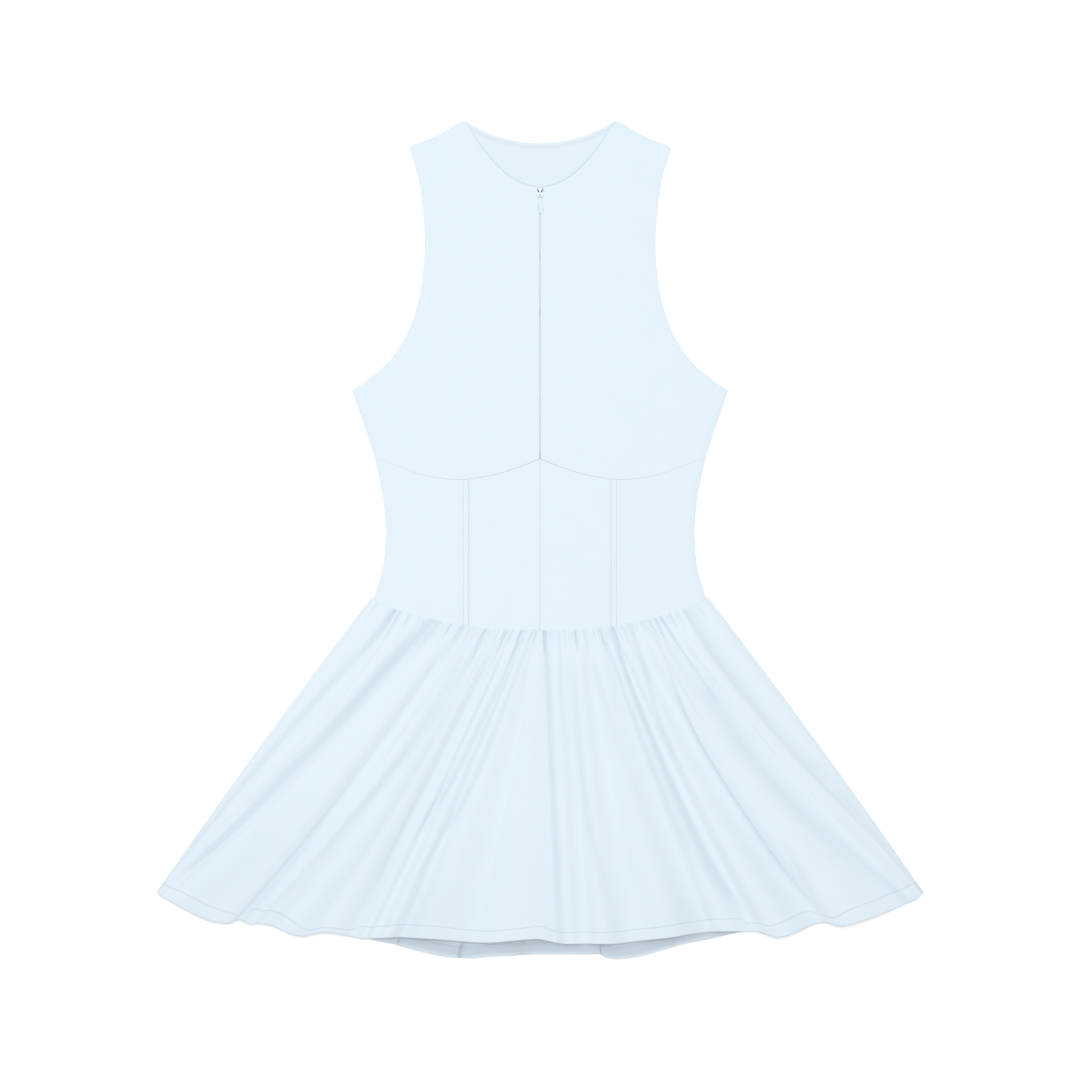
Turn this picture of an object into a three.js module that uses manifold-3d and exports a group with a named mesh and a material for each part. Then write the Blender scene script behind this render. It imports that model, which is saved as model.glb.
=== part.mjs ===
// Sleeveless zip dress in stretch knit, laid flat on a table with its front up.
// X runs across the dress, Y runs from the hem up to the neck and Z rises off the table; millimetres.
// "left" and "right" are as seen from above, with the neck at the top.
import * as THREE from "three";
import { mergeVertices } from "three/addons/utils/BufferGeometryUtils.js";
import Module from "manifold-3d";

const wasm = await Module();
wasm.setup();

// Cloth
const CLOTH = 1.2; // thickness of one ply of the knit
const PLY_GAP = 0.3; // between two plies that lie on each other
const SEAM_GAP = 0.3; // between two pieces at a seam
const CROWN = 2.2; // how far the front of the body stands off the back at the middle
const SHOULDER_EASE = 45; // length over which the front comes down to the back at the shoulder

// Outline of the body. Each row is a point, x from the middle of the dress.
const NECK_POINT = { x: 74.5, y: 419 };
const SHOULDER_TIP = { x: 131, y: 392 };
const UNDERARM = { x: 188, y: 150 };
const SHOULDER = [
  NECK_POINT,
  { x: 82, y: 417 },
  { x: 96.5, y: 408 },
  { x: 110, y: 401.6 },
  { x: 125.5, y: 396 },
  SHOULDER_TIP,
];
const ARMHOLE = [
  UNDERARM,
  { x: 173.3, y: 159.6 },
  { x: 149.6, y: 180.5 },
  { x: 131, y: 211 },
  { x: 120, y: 246 },
  { x: 115.5, y: 286 },
  { x: 116.4, y: 322 },
  { x: 121.4, y: 360 },
  SHOULDER_TIP,
];
const SIDE_UPPER = [{ x: 165.4, y: 81.9 }, { x: 176.5, y: 116 }, UNDERARM];
const SIDE_LOWER = [
  { x: 166.3, y: -59 },
  { x: 156.8, y: -26 },
  { x: 154.3, y: 8 },
  { x: 157.6, y: 44 },
  { x: 165.4, y: 81.9 },
];
const BACK_NECK_Y = 397;
const FRONT_NECK_Y = 353;
const NECK_CURVE = 2.05; // power of the two neck curves

// Seams of the front
const UNDERBUST = [
  { x: 0, y: 81.2 },
  { x: 22, y: 72.4 },
  { x: 50, y: 64.4 },
  { x: 82, y: 60.4 },
  { x: 113, y: 64 },
  { x: 140, y: 73.1 },
  { x: 165.4, y: 81.9 },
];
const WAIST_SEAM = [
  { x: 0, y: -90.5 },
  { x: 45, y: -89.5 },
  { x: 85, y: -84.5 },
  { x: 122, y: -76 },
  { x: 148, y: -68.5 },
  { x: 166.3, y: -59 },
];
const PRINCESS_X = 76.7; // seam between the middle and side panels of the waist
const ZIP_OPEN = 0.6; // between the two fronts along the zip
const ZIP_NOTCH = { half: 3.4, deep: 9, curve: 1.4 }; // the fronts part round the slider at the neck

// Skirt
const SKIRT_TOP_HALF = 169;
const HEM_CORNER = { x: 383.5, y: -353 };
const FRONT_HEM = [
  { x: -HEM_CORNER.x, y: HEM_CORNER.y },
  { x: -375, y: -359 },
  { x: -311, y: -383 },
  { x: -302, y: -379.5 },
  { x: -289, y: -384.3 },
  { x: -281, y: -383 },
  { x: -238, y: -396 },
  { x: -218, y: -391.3 },
  { x: -172, y: -398.5 },
  { x: -149, y: -397 },
  { x: -112, y: -398 },
  { x: -60, y: -402.3 },
  { x: -4, y: -398.6 },
  { x: 24, y: -403.6 },
  { x: 70, y: -403.4 },
  { x: 112, y: -399.2 },
  { x: 158, y: -393 },
  { x: 190, y: -390.8 },
  { x: 215, y: -391.2 },
  { x: 237, y: -396.3 },
  { x: 277, y: -383.5 },
  { x: 284, y: -382 },
  { x: 300, y: -385.4 },
  { x: 313, y: -382.4 },
  { x: 376, y: -359 },
  HEM_CORNER,
];
const BACK_HEM = [
  { x: -HEM_CORNER.x, y: HEM_CORNER.y },
  { x: -376, y: -357 },
  { x: -300, y: -377 },
  { x: -230, y: -387 },
  { x: -174, y: -398.4 },
  { x: -121, y: -410 },
  { x: -84, y: -418 },
  { x: -66, y: -418.5 },
  { x: -50, y: -416.5 },
  { x: -21, y: -415.3 },
  { x: 27, y: -414.5 },
  { x: 57, y: -414 },
  { x: 66, y: -418 },
  { x: 74, y: -419 },
  { x: 94, y: -416.8 },
  { x: 127, y: -408.4 },
  { x: 158, y: -400.7 },
  { x: 216, y: -389.5 },
  { x: 300, y: -377 },
  { x: 376, y: -357 },
  HEM_CORNER,
];
const HEM_DEPTH = 10.5; // turned-up hem, sewn at its top
const HEM_STEP = 0.5; // extra thickness of the turned-up hem
// Creases of the front skirt: place on the waist seam, place on the hem, bow to the right half way down, then
// the ridge on the crease's right side: rise as a share of its width, place of its top across it, from 0 to 1,
// and how sharp the crease is, from 0 to 1.
const FRONT_FOLDS = [
  { seam: -169, hem: -383.5, bow: -3, rise: 0.1, peak: 0.5, sharp: 0.3 },
  { seam: -150, hem: -381, bow: 8, rise: 0.12, peak: 0.5, sharp: 0.4 },
  { seam: -109, hem: -372, bow: 20, rise: 0.11, peak: 0.72, sharp: 0.3 },
  { seam: -80, hem: -301, bow: 12, rise: 0.09, peak: 0.6, sharp: 1 },
  { seam: -60, hem: -262, bow: 13, rise: 0.11, peak: 0.68, sharp: 0.2 },
  { seam: -36, hem: -189, bow: 2, rise: 0.12, peak: 0.6, sharp: 0.9 },
  { seam: -24, hem: -168, bow: 1, rise: 0.14, peak: 0.6, sharp: 0.4 },
  { seam: -11, hem: -138, bow: 1, rise: 0.09, peak: 0.45, sharp: 0.5 },
  { seam: -2, hem: -66, bow: 2, rise: 0.08, peak: 0.38, sharp: 0.1 },
  { seam: 4, hem: 17, bow: 0, rise: 0.1, peak: 0.3, sharp: 0.9 },
  { seam: 29, hem: 47, bow: 0, rise: 0.1, peak: 0.45, sharp: 0.3 },
  { seam: 46, hem: 98, bow: -3, rise: 0.09, peak: 0.5, sharp: 0.2 },
  { seam: 62, hem: 170, bow: -4, rise: 0.12, peak: 0.38, sharp: 0.4 },
  { seam: 71, hem: 216, bow: -5, rise: 0.12, peak: 0.27, sharp: 1 },
  { seam: 91, hem: 279, bow: -12, rise: 0.1, peak: 0.3, sharp: 0.9 },
  { seam: 121, hem: 362, bow: -17, rise: 0.12, peak: 0.4, sharp: 0.3 },
  { seam: 148, hem: 381, bow: -6, rise: 0.1, peak: 0.5, sharp: 0.4 },
  { seam: 169, hem: 383.5, bow: 3, rise: 0, peak: 0.5, sharp: 0.3 },
];
const GATHERS = 60; // small gathers along the waist seam, in the front and again in the back
const GATHER_CELLS = 3; // stations in a gather
const GATHER_RISE = 1.8;
const GATHER_AT_SEAM = 0.25; // rise at the seam, as a share, where the stitching holds it down
const GATHER_OPENS = 7; // distance below the seam where it is full
const GATHER_LENGTH = { mean: 26, swing: 9, along: 41 }; // how far down it fades, in waves along the seam
// Folds of the back skirt, which lies on the table: place on the waist seam, width there, and height at the hem.
const BACK_FOLDS = [
  { seam: -132, width: 30, rise: 3 },
  { seam: -88, width: 22, rise: 4 },
  { seam: -48, width: 26, rise: 4 },
  { seam: -8, width: 16, rise: 4 },
  { seam: 22, width: 14, rise: 4 },
  { seam: 58, width: 24, rise: 4 },
  { seam: 98, width: 28, rise: 4 },
  { seam: 136, width: 28, rise: 3 },
];
const BACK_RISE = 4; // the highest back fold at the hem
const BACK_RISE_AT_SEAM = 0.3; // as a share of that
const BACK_GATHER = 0.35; // height of the back's gathers as a share of the front's
const SKIRT_GAP = 1; // between the two plies of the skirt, with room for the back's turned-up hem and gathers
const CROWN_FADE = 0.6; // share of the skirt's length over which the body's crown runs out
const FOLD_OPENS = 0.12; // share of the skirt's length over which the folds rise from the waist seam
const SIDE_HOLD = 6; // power with which the back's folds flatten towards the side seams
const FOLD_STEP = 9.5; // between two stations of a fold, as a mean of its widths at the seam and the hem

// Zip
const TAPE = { thick: 1, wide: 12, low: 84, high: 343 };
const SLIDER = { top: 352.6, long: 9.8, topHalf: 4, lowHalf: 2.5, thick: 1, corner: 1.2, vee: 1.4 };
const SLOT = { wide: 1.1, topX: 2.6, topDown: 1.4, lowX: 1.2, lowDown: 5.2 }; // slanted gaps through the slider
const STEM = { topHalf: 2.3, lowHalf: 0.5, long: 5.2, deep: 0.8 }; // of the slider, between the two fronts
const BAR = { r: 0.45, y: 343.8 }; // across the slider's foot, through the pull's eye
const LUG = { wide: 1, r: 0.9 };
const EYE = { inner: 0.75, outer: 1.45, wide: 1.6 };
const PULL = { long: 17, wide: 6, neck: 3.6, thick: 1, widestDown: 12.5, neckDown: 2.9 };

const mix = (a, b, t) => a + (b - a) * t;
const clamp = (v, low = 0, high = 1) => Math.min(high, Math.max(low, v));
const smooth = (t) => clamp(t) ** 2 * (3 - 2 * clamp(t));

// Curve through the rows of a table; t goes from its first point to its last by length.
function through(rows) {
  const curve = new THREE.SplineCurve(rows.map(({ x, y }) => new THREE.Vector2(x, y)));
  curve.arcLengthDivisions = 400;
  return (t) => curve.getPointAt(clamp(t));
}

// Value of a column at a place between the rows: a cubic that never overshoots.
function column(rows, key, name) {
  const steps = rows.slice(1).map((row, i) => (row[name] - rows[i][name]) / (row[key] - rows[i][key]));
  const slopes = rows.map((_, i) => {
    const before = steps[Math.max(i - 1, 0)];
    const after = steps[Math.min(i, steps.length - 1)];
    return before * after > 0 ? (2 * before * after) / (before + after) : 0;
  });
  return (at) => {
    let i = rows.findIndex((row) => row[key] > at) - 1;
    if (i === -2) i = rows.length - 2;
    i = clamp(i, 0, rows.length - 2);
    const wide = rows[i + 1][key] - rows[i][key];
    const t = clamp((at - rows[i][key]) / wide);
    return (
      rows[i][name] * (1 + 2 * t) * (1 - t) ** 2 +
      slopes[i] * wide * t * (1 - t) ** 2 +
      rows[i + 1][name] * t * t * (3 - 2 * t) -
      slopes[i + 1] * wide * t * t * (1 - t)
    );
  };
}

const shoulder = through(SHOULDER);
const armhole = through(ARMHOLE);
const sideUpper = through(SIDE_UPPER);
const sideLower = through(SIDE_LOWER);
const underbustY = column(UNDERBUST, "x", "y");
const waistSeamY = column(WAIST_SEAM, "x", "y");
const frontHemY = column(FRONT_HEM, "x", "y");
const backHemY = column(BACK_HEM, "x", "y");
const creaseHem = column(FRONT_FOLDS, "seam", "hem");
const creaseBow = column(FRONT_FOLDS, "seam", "bow");
const neckY = (bottom, x) => bottom + (NECK_POINT.y - bottom) * (Math.abs(x) / NECK_POINT.x) ** NECK_CURVE;

// Half width of the body at a height, for the crown of the front.
const OUTLINE = [...SIDE_LOWER, ...SIDE_UPPER.slice(1), ...ARMHOLE.slice(1)];
const halfWidth = column(OUTLINE, "y", "x");
const shoulderY = column([{ x: 0, y: NECK_POINT.y }, ...SHOULDER], "x", "y");

// Underside of the front of the body, where it lies over the back.
function frontUnderside(x, y) {
  const across = clamp(Math.abs(x) / halfWidth(y));
  const ease = smooth((shoulderY(Math.abs(x)) - y) / SHOULDER_EASE);
  return CLOTH + PLY_GAP + CROWN * (1 - across ** 2) ** 0.8 * ease;
}
const frontTop = (x, y) => frontUnderside(x, y) + CLOTH;

// Closed wall over rows of stations {x, y, low, high, at}. Two rows may differ in their number of stations,
// which are then joined in order of at.
function wall(rows) {
  const starts = [];
  let count = 0;
  for (const row of rows) {
    starts.push(count);
    count += row.length;
  }
  const stations = rows.flat();
  const tops = [];
  for (let r = 0; r < rows.length - 1; r++) {
    const [a, b] = [rows[r], rows[r + 1]];
    let [i, j] = [0, 0];
    while (i < a.length - 1 || j < b.length - 1) {
      const nextA = i < a.length - 1 ? a[i + 1].at : Infinity;
      const nextB = j < b.length - 1 ? b[j + 1].at : Infinity;
      if (nextA <= nextB) {
        tops.push([starts[r] + i, starts[r] + i + 1, starts[r + 1] + j]);
        i += 1;
      } else {
        tops.push([starts[r] + i, starts[r + 1] + j + 1, starts[r + 1] + j]);
        j += 1;
      }
    }
  }
  const rim = [
    ...rows[0].map((_, i) => i),
    ...rows.slice(1, -1).map((row, r) => starts[r + 1] + row.length - 1),
    ...rows.at(-1).map((_, i) => count - 1 - i),
    ...rows.slice(1, -1).map((_, r) => starts[rows.length - 2 - r]),
  ];
  const area = tops.reduce((sum, [a, b, c]) => {
    const [p, q, s] = [stations[a], stations[b], stations[c]];
    return sum + (q.x - p.x) * (s.y - p.y) - (s.x - p.x) * (q.y - p.y);
  }, 0);
  const faces = tops.flatMap(([a, b, c]) => [[a, b, c], [count + a, count + c, count + b]]);
  rim.forEach((a, i) => {
    const b = rim[(i + 1) % rim.length];
    faces.push([count + a, count + b, b], [count + a, b, a]);
  });
  const index = (area < 0 ? faces.map(([a, b, c]) => [a, c, b]) : faces).flat();
  const points = [...stations.map((s) => [s.x, s.y, s.high]), ...stations.map((s) => [s.x, s.y, s.low])];
  const geometry = new THREE.BufferGeometry();
  geometry.setAttribute("position", new THREE.Float32BufferAttribute(points.flat(), 3));
  geometry.setIndex(index);
  return geometry;
}

// Rows of stations over a panel with four curved edges. bottom and top run from the inner edge to the outer one,
// inner and outer run upwards, and each is a function of 0 to 1.
function panel({ bottom, top, inner, outer, across, up, low, high, side = 1 }) {
  const corners = [bottom(0), bottom(1), top(0), top(1)];
  const rows = [];
  for (let r = 0; r <= up; r++) {
    const t = r / up;
    const [from, to] = [inner(t), outer(t)];
    const row = [];
    for (let c = 0; c <= across; c++) {
      const s = c / across;
      const [b, u] = [bottom(s), top(s)];
      const place = (axis) =>
        mix(b[axis], u[axis], t) +
        mix(from[axis], to[axis], s) -
        mix(mix(corners[0][axis], corners[1][axis], s), mix(corners[2][axis], corners[3][axis], s), t);
      const [x, y] = [place("x") * side, place("y")];
      row.push({ x, y, low: low(x, y), high: high(x, y), at: s });
    }
    rows.push(row);
  }
  return wall(rows);
}

// Edge made of two curves that meet at a corner, which lies at share of the way.
function twoCurves(first, second, share) {
  return (t) => (t <= share ? first(t / share) : second((t - share) / (1 - share)));
}
const line = (from, to) => (t) => ({ x: mix(from.x, to.x, t), y: mix(from.y, to.y, t) });

// Front half of the bust, from the underbust seam to the shoulder. Its inner edge runs up the zip, round the
// slider and along the neckline, and its outer edge up the side and round the armhole.
function bustFront(side) {
  const lift = SEAM_GAP / 2;
  const zipX = ZIP_OPEN / 2;
  const bottom = (t) => {
    const x = t < 0.5 ? mix(zipX, PRINCESS_X, 2 * t) : mix(PRINCESS_X, SIDE_UPPER[0].x, 2 * t - 1);
    return { x, y: underbustY(x) + lift };
  };
  const notchLow = { x: zipX, y: FRONT_NECK_Y - ZIP_NOTCH.deep };
  const notch = (t) => {
    const x = mix(zipX, ZIP_NOTCH.half, t ** ZIP_NOTCH.curve);
    return { x, y: mix(notchLow.y, neckY(FRONT_NECK_Y, x), t) };
  };
  const neckline = (t) => {
    const x = mix(ZIP_NOTCH.half, NECK_POINT.x, t);
    return { x, y: neckY(FRONT_NECK_Y, x) };
  };
  const sideSeam = (t) => ({ x: sideUpper(t).x, y: sideUpper(t).y + lift * (1 - t) });
  const [zipRows, neckRow, armRow, up] = [10, 11, 4, 18];
  return panel({
    bottom,
    top: shoulder,
    inner: twoCurves(twoCurves(line(bottom(0), notchLow), notch, zipRows / neckRow), neckline, neckRow / up),
    outer: twoCurves(sideSeam, armhole, armRow / up),
    across: 10,
    up,
    low: frontUnderside,
    high: frontTop,
    side,
  });
}

// Panel of the front waist, from the waist seam up to the underbust seam. innerX and outerX give its two
// edges at a height.
function waistFront(side, innerX, outerX) {
  const lift = SEAM_GAP / 2;
  const along = (seamY, offset, endY) => (t) => {
    const x = mix(innerX(endY), outerX(endY), t);
    return { x, y: seamY(x) + offset };
  };
  const bottom = along(waistSeamY, lift, WAIST_SEAM.at(-1).y + lift);
  const top = along(underbustY, -lift, UNDERBUST.at(-1).y - lift);
  const upright = (edgeX, end) => (t) => {
    const y = mix(bottom(end).y, top(end).y, t);
    return { x: edgeX(y), y };
  };
  return panel({
    bottom,
    top,
    inner: upright(innerX, 0),
    outer: upright(outerX, 1),
    across: 5,
    up: 8,
    low: frontUnderside,
    high: frontTop,
    side,
  });
}
const waistMiddle = (side) => waistFront(side, () => SEAM_GAP / 2, () => PRINCESS_X - SEAM_GAP / 2);
const waistSide = (side) => waistFront(side, () => PRINCESS_X + SEAM_GAP / 2, column(SIDE_LOWER, "y", "x"));

// Whole back of the body, in one piece from the waist seam to the shoulders, lying flat on the table.
function bodyBack() {
  const [neckCells, shoulderCells, bustRow, lower, upper] = [5, 4, 6, 9, 15];
  const cells = neckCells + shoulderCells;
  const neckShare = NECK_POINT.x / SHOULDER_TIP.x;
  const rows = [];
  const addRow = (edge, rise, level) => {
    const row = [];
    for (let c = -cells; c <= cells; c++) {
      const far = Math.abs(c);
      const even = far / cells;
      const inNeck = (far / neckCells) * neckShare;
      const inShoulder = mix(neckShare, 1, (far - neckCells) / shoulderCells);
      const share = mix(even, far < neckCells ? inNeck : inShoulder, rise);
      row.push({ x: Math.sign(c) * share * edge.x, y: level(share), low: 0, high: CLOTH, at: c });
    }
    rows.push(row);
  };
  const waist = SIDE_LOWER[0];
  const sides = twoCurves(sideLower, sideUpper, bustRow / lower);
  for (let r = 0; r <= lower; r++) {
    const t = r / lower;
    const edge = sides(t);
    const bend = edge.y - mix(waist.y, UNDERARM.y, t);
    addRow(edge, 0, (s) => mix(waistSeamY(s * waist.x) + SEAM_GAP / 2, UNDERARM.y, t) + bend * s * s);
  }
  const topY = (x) => (x < NECK_POINT.x ? neckY(BACK_NECK_Y, x) : shoulderY(x));
  for (let r = 1; r <= upper; r++) {
    const t = r / upper;
    const edge = armhole(t);
    const bend = edge.y - mix(UNDERARM.y, SHOULDER_TIP.y, t);
    addRow(edge, t, (s) => mix(UNDERARM.y, topY(s * SHOULDER_TIP.x), t) + bend * s * s);
  }
  return wall(rows);
}

// Plan of the skirt: u is the place on the waist seam, w goes from 0 at the seam to 1 at the front hem.
function skirtPlan(u, w) {
  const seam = { x: u, y: waistSeamY(Math.min(Math.abs(u), WAIST_SEAM.at(-1).x)) - SEAM_GAP / 2 };
  const hem = { x: creaseHem(u), y: frontHemY(creaseHem(u)) };
  const bow = creaseBow(u) * 4 * w * (1 - w);
  return { x: mix(seam.x, hem.x, w) + bow, y: mix(seam.y, hem.y, w) };
}
const skirtLength = (u) => skirtPlan(u, 0).y - skirtPlan(u, 1).y;
const backReach = (u) => 1 + (frontHemY(creaseHem(u)) - backHemY(creaseHem(u))) / skirtLength(u);

// Power of a share that brings its half way point to a place below the middle.
const leanTo = (peak) => Math.log(0.5) / Math.log(peak);

// Height of the front skirt's folds over the ply below.
function frontFold(u, w) {
  let i = FRONT_FOLDS.findIndex(({ seam }) => seam > u) - 1;
  if (i < 0) i = u < 0 ? 0 : FRONT_FOLDS.length - 2;
  const [here, next] = [FRONT_FOLDS[i], FRONT_FOLDS[i + 1]];
  const s = clamp((u - here.seam) / (next.seam - here.seam));
  const width = mix(next.seam - here.seam, next.hem - here.hem, w);
  const power = 2 - 1.2 * mix(here.sharp, next.sharp, s);
  const across = here.peak < 0.5 ? s ** leanTo(here.peak) : 1 - (1 - s) ** leanTo(1 - here.peak);
  return here.rise * width * Math.sin(Math.PI * across) ** power * smooth(w / FOLD_OPENS);
}

// Small gathers below the waist seam.
function gather(u, w) {
  const wave = 0.5 - 0.5 * Math.cos((Math.PI * GATHERS * (u + SKIRT_TOP_HALF)) / SKIRT_TOP_HALF);
  const down = w * skirtLength(u);
  const length = GATHER_LENGTH.mean + GATHER_LENGTH.swing * Math.sin((2 * Math.PI * u) / GATHER_LENGTH.along);
  return GATHER_RISE * wave * mix(GATHER_AT_SEAM, 1, smooth(down / GATHER_OPENS)) * Math.exp(-((down / length) ** 2));
}

// Ceiling that the back's folds stay under and the front lies on.
function ceiling(u, w) {
  const edge = Math.abs(u) / SKIRT_TOP_HALF;
  return BACK_RISE * mix(BACK_RISE_AT_SEAM, 1, clamp(w)) * smooth(w / FOLD_OPENS) * (1 - edge ** SIDE_HOLD);
}

// Height of the back's folds: rounded ridges with flat cloth between them.
function backFold(u, w) {
  const ridge = BACK_FOLDS.reduce((sum, { seam, width, rise }) => {
    const far = (2 * Math.abs(u - seam)) / width;
    return sum + (far < 1 ? (rise / BACK_RISE) * Math.cos((far * Math.PI) / 2) ** 2 : 0);
  }, 0);
  return ceiling(u, w) * ridge;
}

// Places along the waist seam: even ones where the gathers are, and ones that fall on the creases lower down.
const gatherSteps = GATHERS * GATHER_CELLS;
const gatherPlaces = Array.from({ length: gatherSteps + 1 }, (_, i) =>
  mix(-SKIRT_TOP_HALF, SKIRT_TOP_HALF, i / gatherSteps),
);
const foldPlaces = FRONT_FOLDS.slice(1).flatMap((next, i) => {
  const here = FRONT_FOLDS[i];
  const width = mix((next.seam - here.seam) * (HEM_CORNER.x / SKIRT_TOP_HALF), next.hem - here.hem, 0.5);
  const steps = Math.max(2, Math.round(width / FOLD_STEP));
  return Array.from({ length: steps }, (_, step) => mix(here.seam, next.seam, step / steps));
});
foldPlaces.push(SKIRT_TOP_HALF);

// Ply of the skirt. gatherRows and foldRows are distances down from the waist seam, as shares of its length;
// reach gives that length as a share of the front's, and under is the height of its underside.
function skirtPly({ gatherRows, foldRows, reach, under }) {
  const station = (u, w, extra) => {
    const [before, after] = [Math.max(u - 1, -SKIRT_TOP_HALF), Math.min(u + 1, SKIRT_TOP_HALF)];
    const [from, to] = [skirtPlan(before, w), skirtPlan(after, w)];
    const slope = (under(after, w) - under(before, w)) / Math.hypot(to.x - from.x, to.y - from.y);
    const low = under(u, w);
    return { ...skirtPlan(u, w), low, high: low + CLOTH * Math.min(1.5, Math.hypot(1, slope)) + extra, at: u };
  };
  const hemRow = (up) => foldPlaces.map((u) => station(u, reach(u) - up / skirtLength(u), HEM_STEP));
  return wall([
    ...gatherRows.map((w) => gatherPlaces.map((u) => station(u, w * reach(u), 0))),
    ...foldRows.map((w) => foldPlaces.map((u) => station(u, w * reach(u), 0))),
    hemRow(HEM_DEPTH),
    hemRow(0),
  ]);
}

function frontSkirtUnder(u, w) {
  const crown = frontUnderside(u, WAIST_SEAM[0].y) - CLOTH - PLY_GAP;
  const rest = CLOTH + SKIRT_GAP + ceiling(u, w) + crown * (1 - smooth(w / CROWN_FADE));
  return rest + frontFold(u, w) + gather(u, w);
}
function backSkirtUnder(u, w) {
  const edge = Math.abs(u) / SKIRT_TOP_HALF;
  return backFold(u, w) + BACK_GATHER * gather(u, w) * (1 - edge ** SIDE_HOLD);
}

const skirtFront = () =>
  skirtPly({
    gatherRows: [0, 0.022, 0.06, 0.11],
    foldRows: [0.17, 0.26, 0.37, 0.49, 0.61, 0.73, 0.84, 0.94],
    reach: () => 1,
    under: frontSkirtUnder,
  });

const skirtBack = () =>
  skirtPly({
    gatherRows: [0, 0.022, 0.06],
    foldRows: [0.13, 0.26, 0.43, 0.61, 0.79, 0.94],
    reach: backReach,
    under: backSkirtUnder,
  });

// Half of the zip's tape, sewn under the edge of one front.
function zipTape(side) {
  const { thick, wide, low, high } = TAPE;
  const top = (x, y) => frontUnderside(x, y) - PLY_GAP;
  return panel({
    bottom: line({ x: ZIP_OPEN / 2, y: low }, { x: wide, y: low }),
    top: line({ x: ZIP_OPEN / 2, y: high }, { x: wide, y: high }),
    inner: line({ x: ZIP_OPEN / 2, y: low }, { x: ZIP_OPEN / 2, y: high }),
    outer: line({ x: wide, y: low }, { x: wide, y: high }),
    across: 2,
    up: 10,
    low: (x, y) => top(x, y) - thick,
    high: top,
    side,
  });
}

// Solid of a closed geometry, and the geometry of a solid.
function solid(geometry) {
  const bare = geometry.clone();
  bare.deleteAttribute("normal");
  bare.deleteAttribute("uv");
  const merged = mergeVertices(bare, 1e-4);
  return new wasm.Manifold(
    new wasm.Mesh({
      numProp: 3,
      vertProperties: merged.attributes.position.array,
      triVerts: new Uint32Array(merged.index.array),
    }),
  );
}
function geometryOf(manifold) {
  const mesh = manifold.getMesh();
  const geometry = new THREE.BufferGeometry();
  geometry.setAttribute("position", new THREE.BufferAttribute(new Float32Array(mesh.vertProperties), 3));
  geometry.setIndex(new THREE.BufferAttribute(new Uint32Array(mesh.triVerts), 1));
  return geometry;
}
const slab = (shape, depth, z, segments = 8) =>
  new THREE.ExtrudeGeometry(shape, { depth, bevelEnabled: false, curveSegments: segments }).translate(0, 0, z);

const CLOTH_TOP = frontTop(0, FRONT_NECK_Y);
const PLATE_LOW = CLOTH_TOP + PLY_GAP;
const BAR_Z = PLATE_LOW + EYE.outer;
const LUG_IN = EYE.wide / 2 + PLY_GAP;

// Slider: a stem between the two fronts, a slotted plate over them, and a bar held by two lugs.
function zipSlider() {
  const { top, long, topHalf, lowHalf, thick, corner, vee } = SLIDER;
  const foot = top - long;
  const plate = new THREE.Shape();
  plate.moveTo(-topHalf, top);
  plate.lineTo(-lowHalf, foot + corner);
  plate.quadraticCurveTo(-lowHalf, foot, -lowHalf + corner, foot);
  plate.lineTo(lowHalf - corner, foot);
  plate.quadraticCurveTo(lowHalf, foot, lowHalf, foot + corner);
  plate.lineTo(topHalf, top);
  plate.lineTo(0, top - vee);
  plate.closePath();
  const stem = new THREE.Shape();
  stem.moveTo(-STEM.topHalf, top - vee);
  stem.lineTo(-STEM.lowHalf, top - STEM.long);
  stem.lineTo(STEM.lowHalf, top - STEM.long);
  stem.lineTo(STEM.topHalf, top - vee);
  stem.closePath();
  const stemLow = PLATE_LOW - PLY_GAP - CLOTH - STEM.deep;
  const stemHigh = PLATE_LOW + thick / 2;
  const pocket = new THREE.BoxGeometry(2 * LUG_IN, 2 * (EYE.outer + PLY_GAP), 4 * EYE.outer);
  pocket.translate(0, BAR.y, BAR_Z);
  let body = solid(slab(plate, thick, PLATE_LOW)).subtract(solid(pocket));
  for (const side of [-1, 1]) {
    const slot = new THREE.Shape();
    slot.moveTo(side * SLOT.topX - SLOT.wide / 2, top - SLOT.topDown);
    slot.lineTo(side * SLOT.lowX - SLOT.wide / 2, top - SLOT.lowDown);
    slot.lineTo(side * SLOT.lowX + SLOT.wide / 2, top - SLOT.lowDown);
    slot.lineTo(side * SLOT.topX + SLOT.wide / 2, top - SLOT.topDown);
    slot.closePath();
    const x = side * (LUG_IN + LUG.wide / 2);
    const ear = new THREE.CylinderGeometry(LUG.r, LUG.r, LUG.wide, 12);
    ear.rotateZ(Math.PI / 2).translate(x, BAR.y, BAR_Z);
    const post = new THREE.BoxGeometry(LUG.wide, 2 * LUG.r, BAR_Z - PLATE_LOW);
    post.translate(x, BAR.y, (BAR_Z + PLATE_LOW) / 2);
    body = body.subtract(solid(slab(slot, thick * 3, PLATE_LOW - thick))).add(solid(ear)).add(solid(post));
  }
  body = body.add(solid(slab(stem, stemHigh - stemLow, stemLow)));
  const bar = new THREE.CylinderGeometry(BAR.r, BAR.r, 2 * LUG_IN + LUG.wide, 12);
  bar.rotateZ(Math.PI / 2).translate(0, BAR.y, BAR_Z);
  return geometryOf(body.add(solid(bar)));
}

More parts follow.
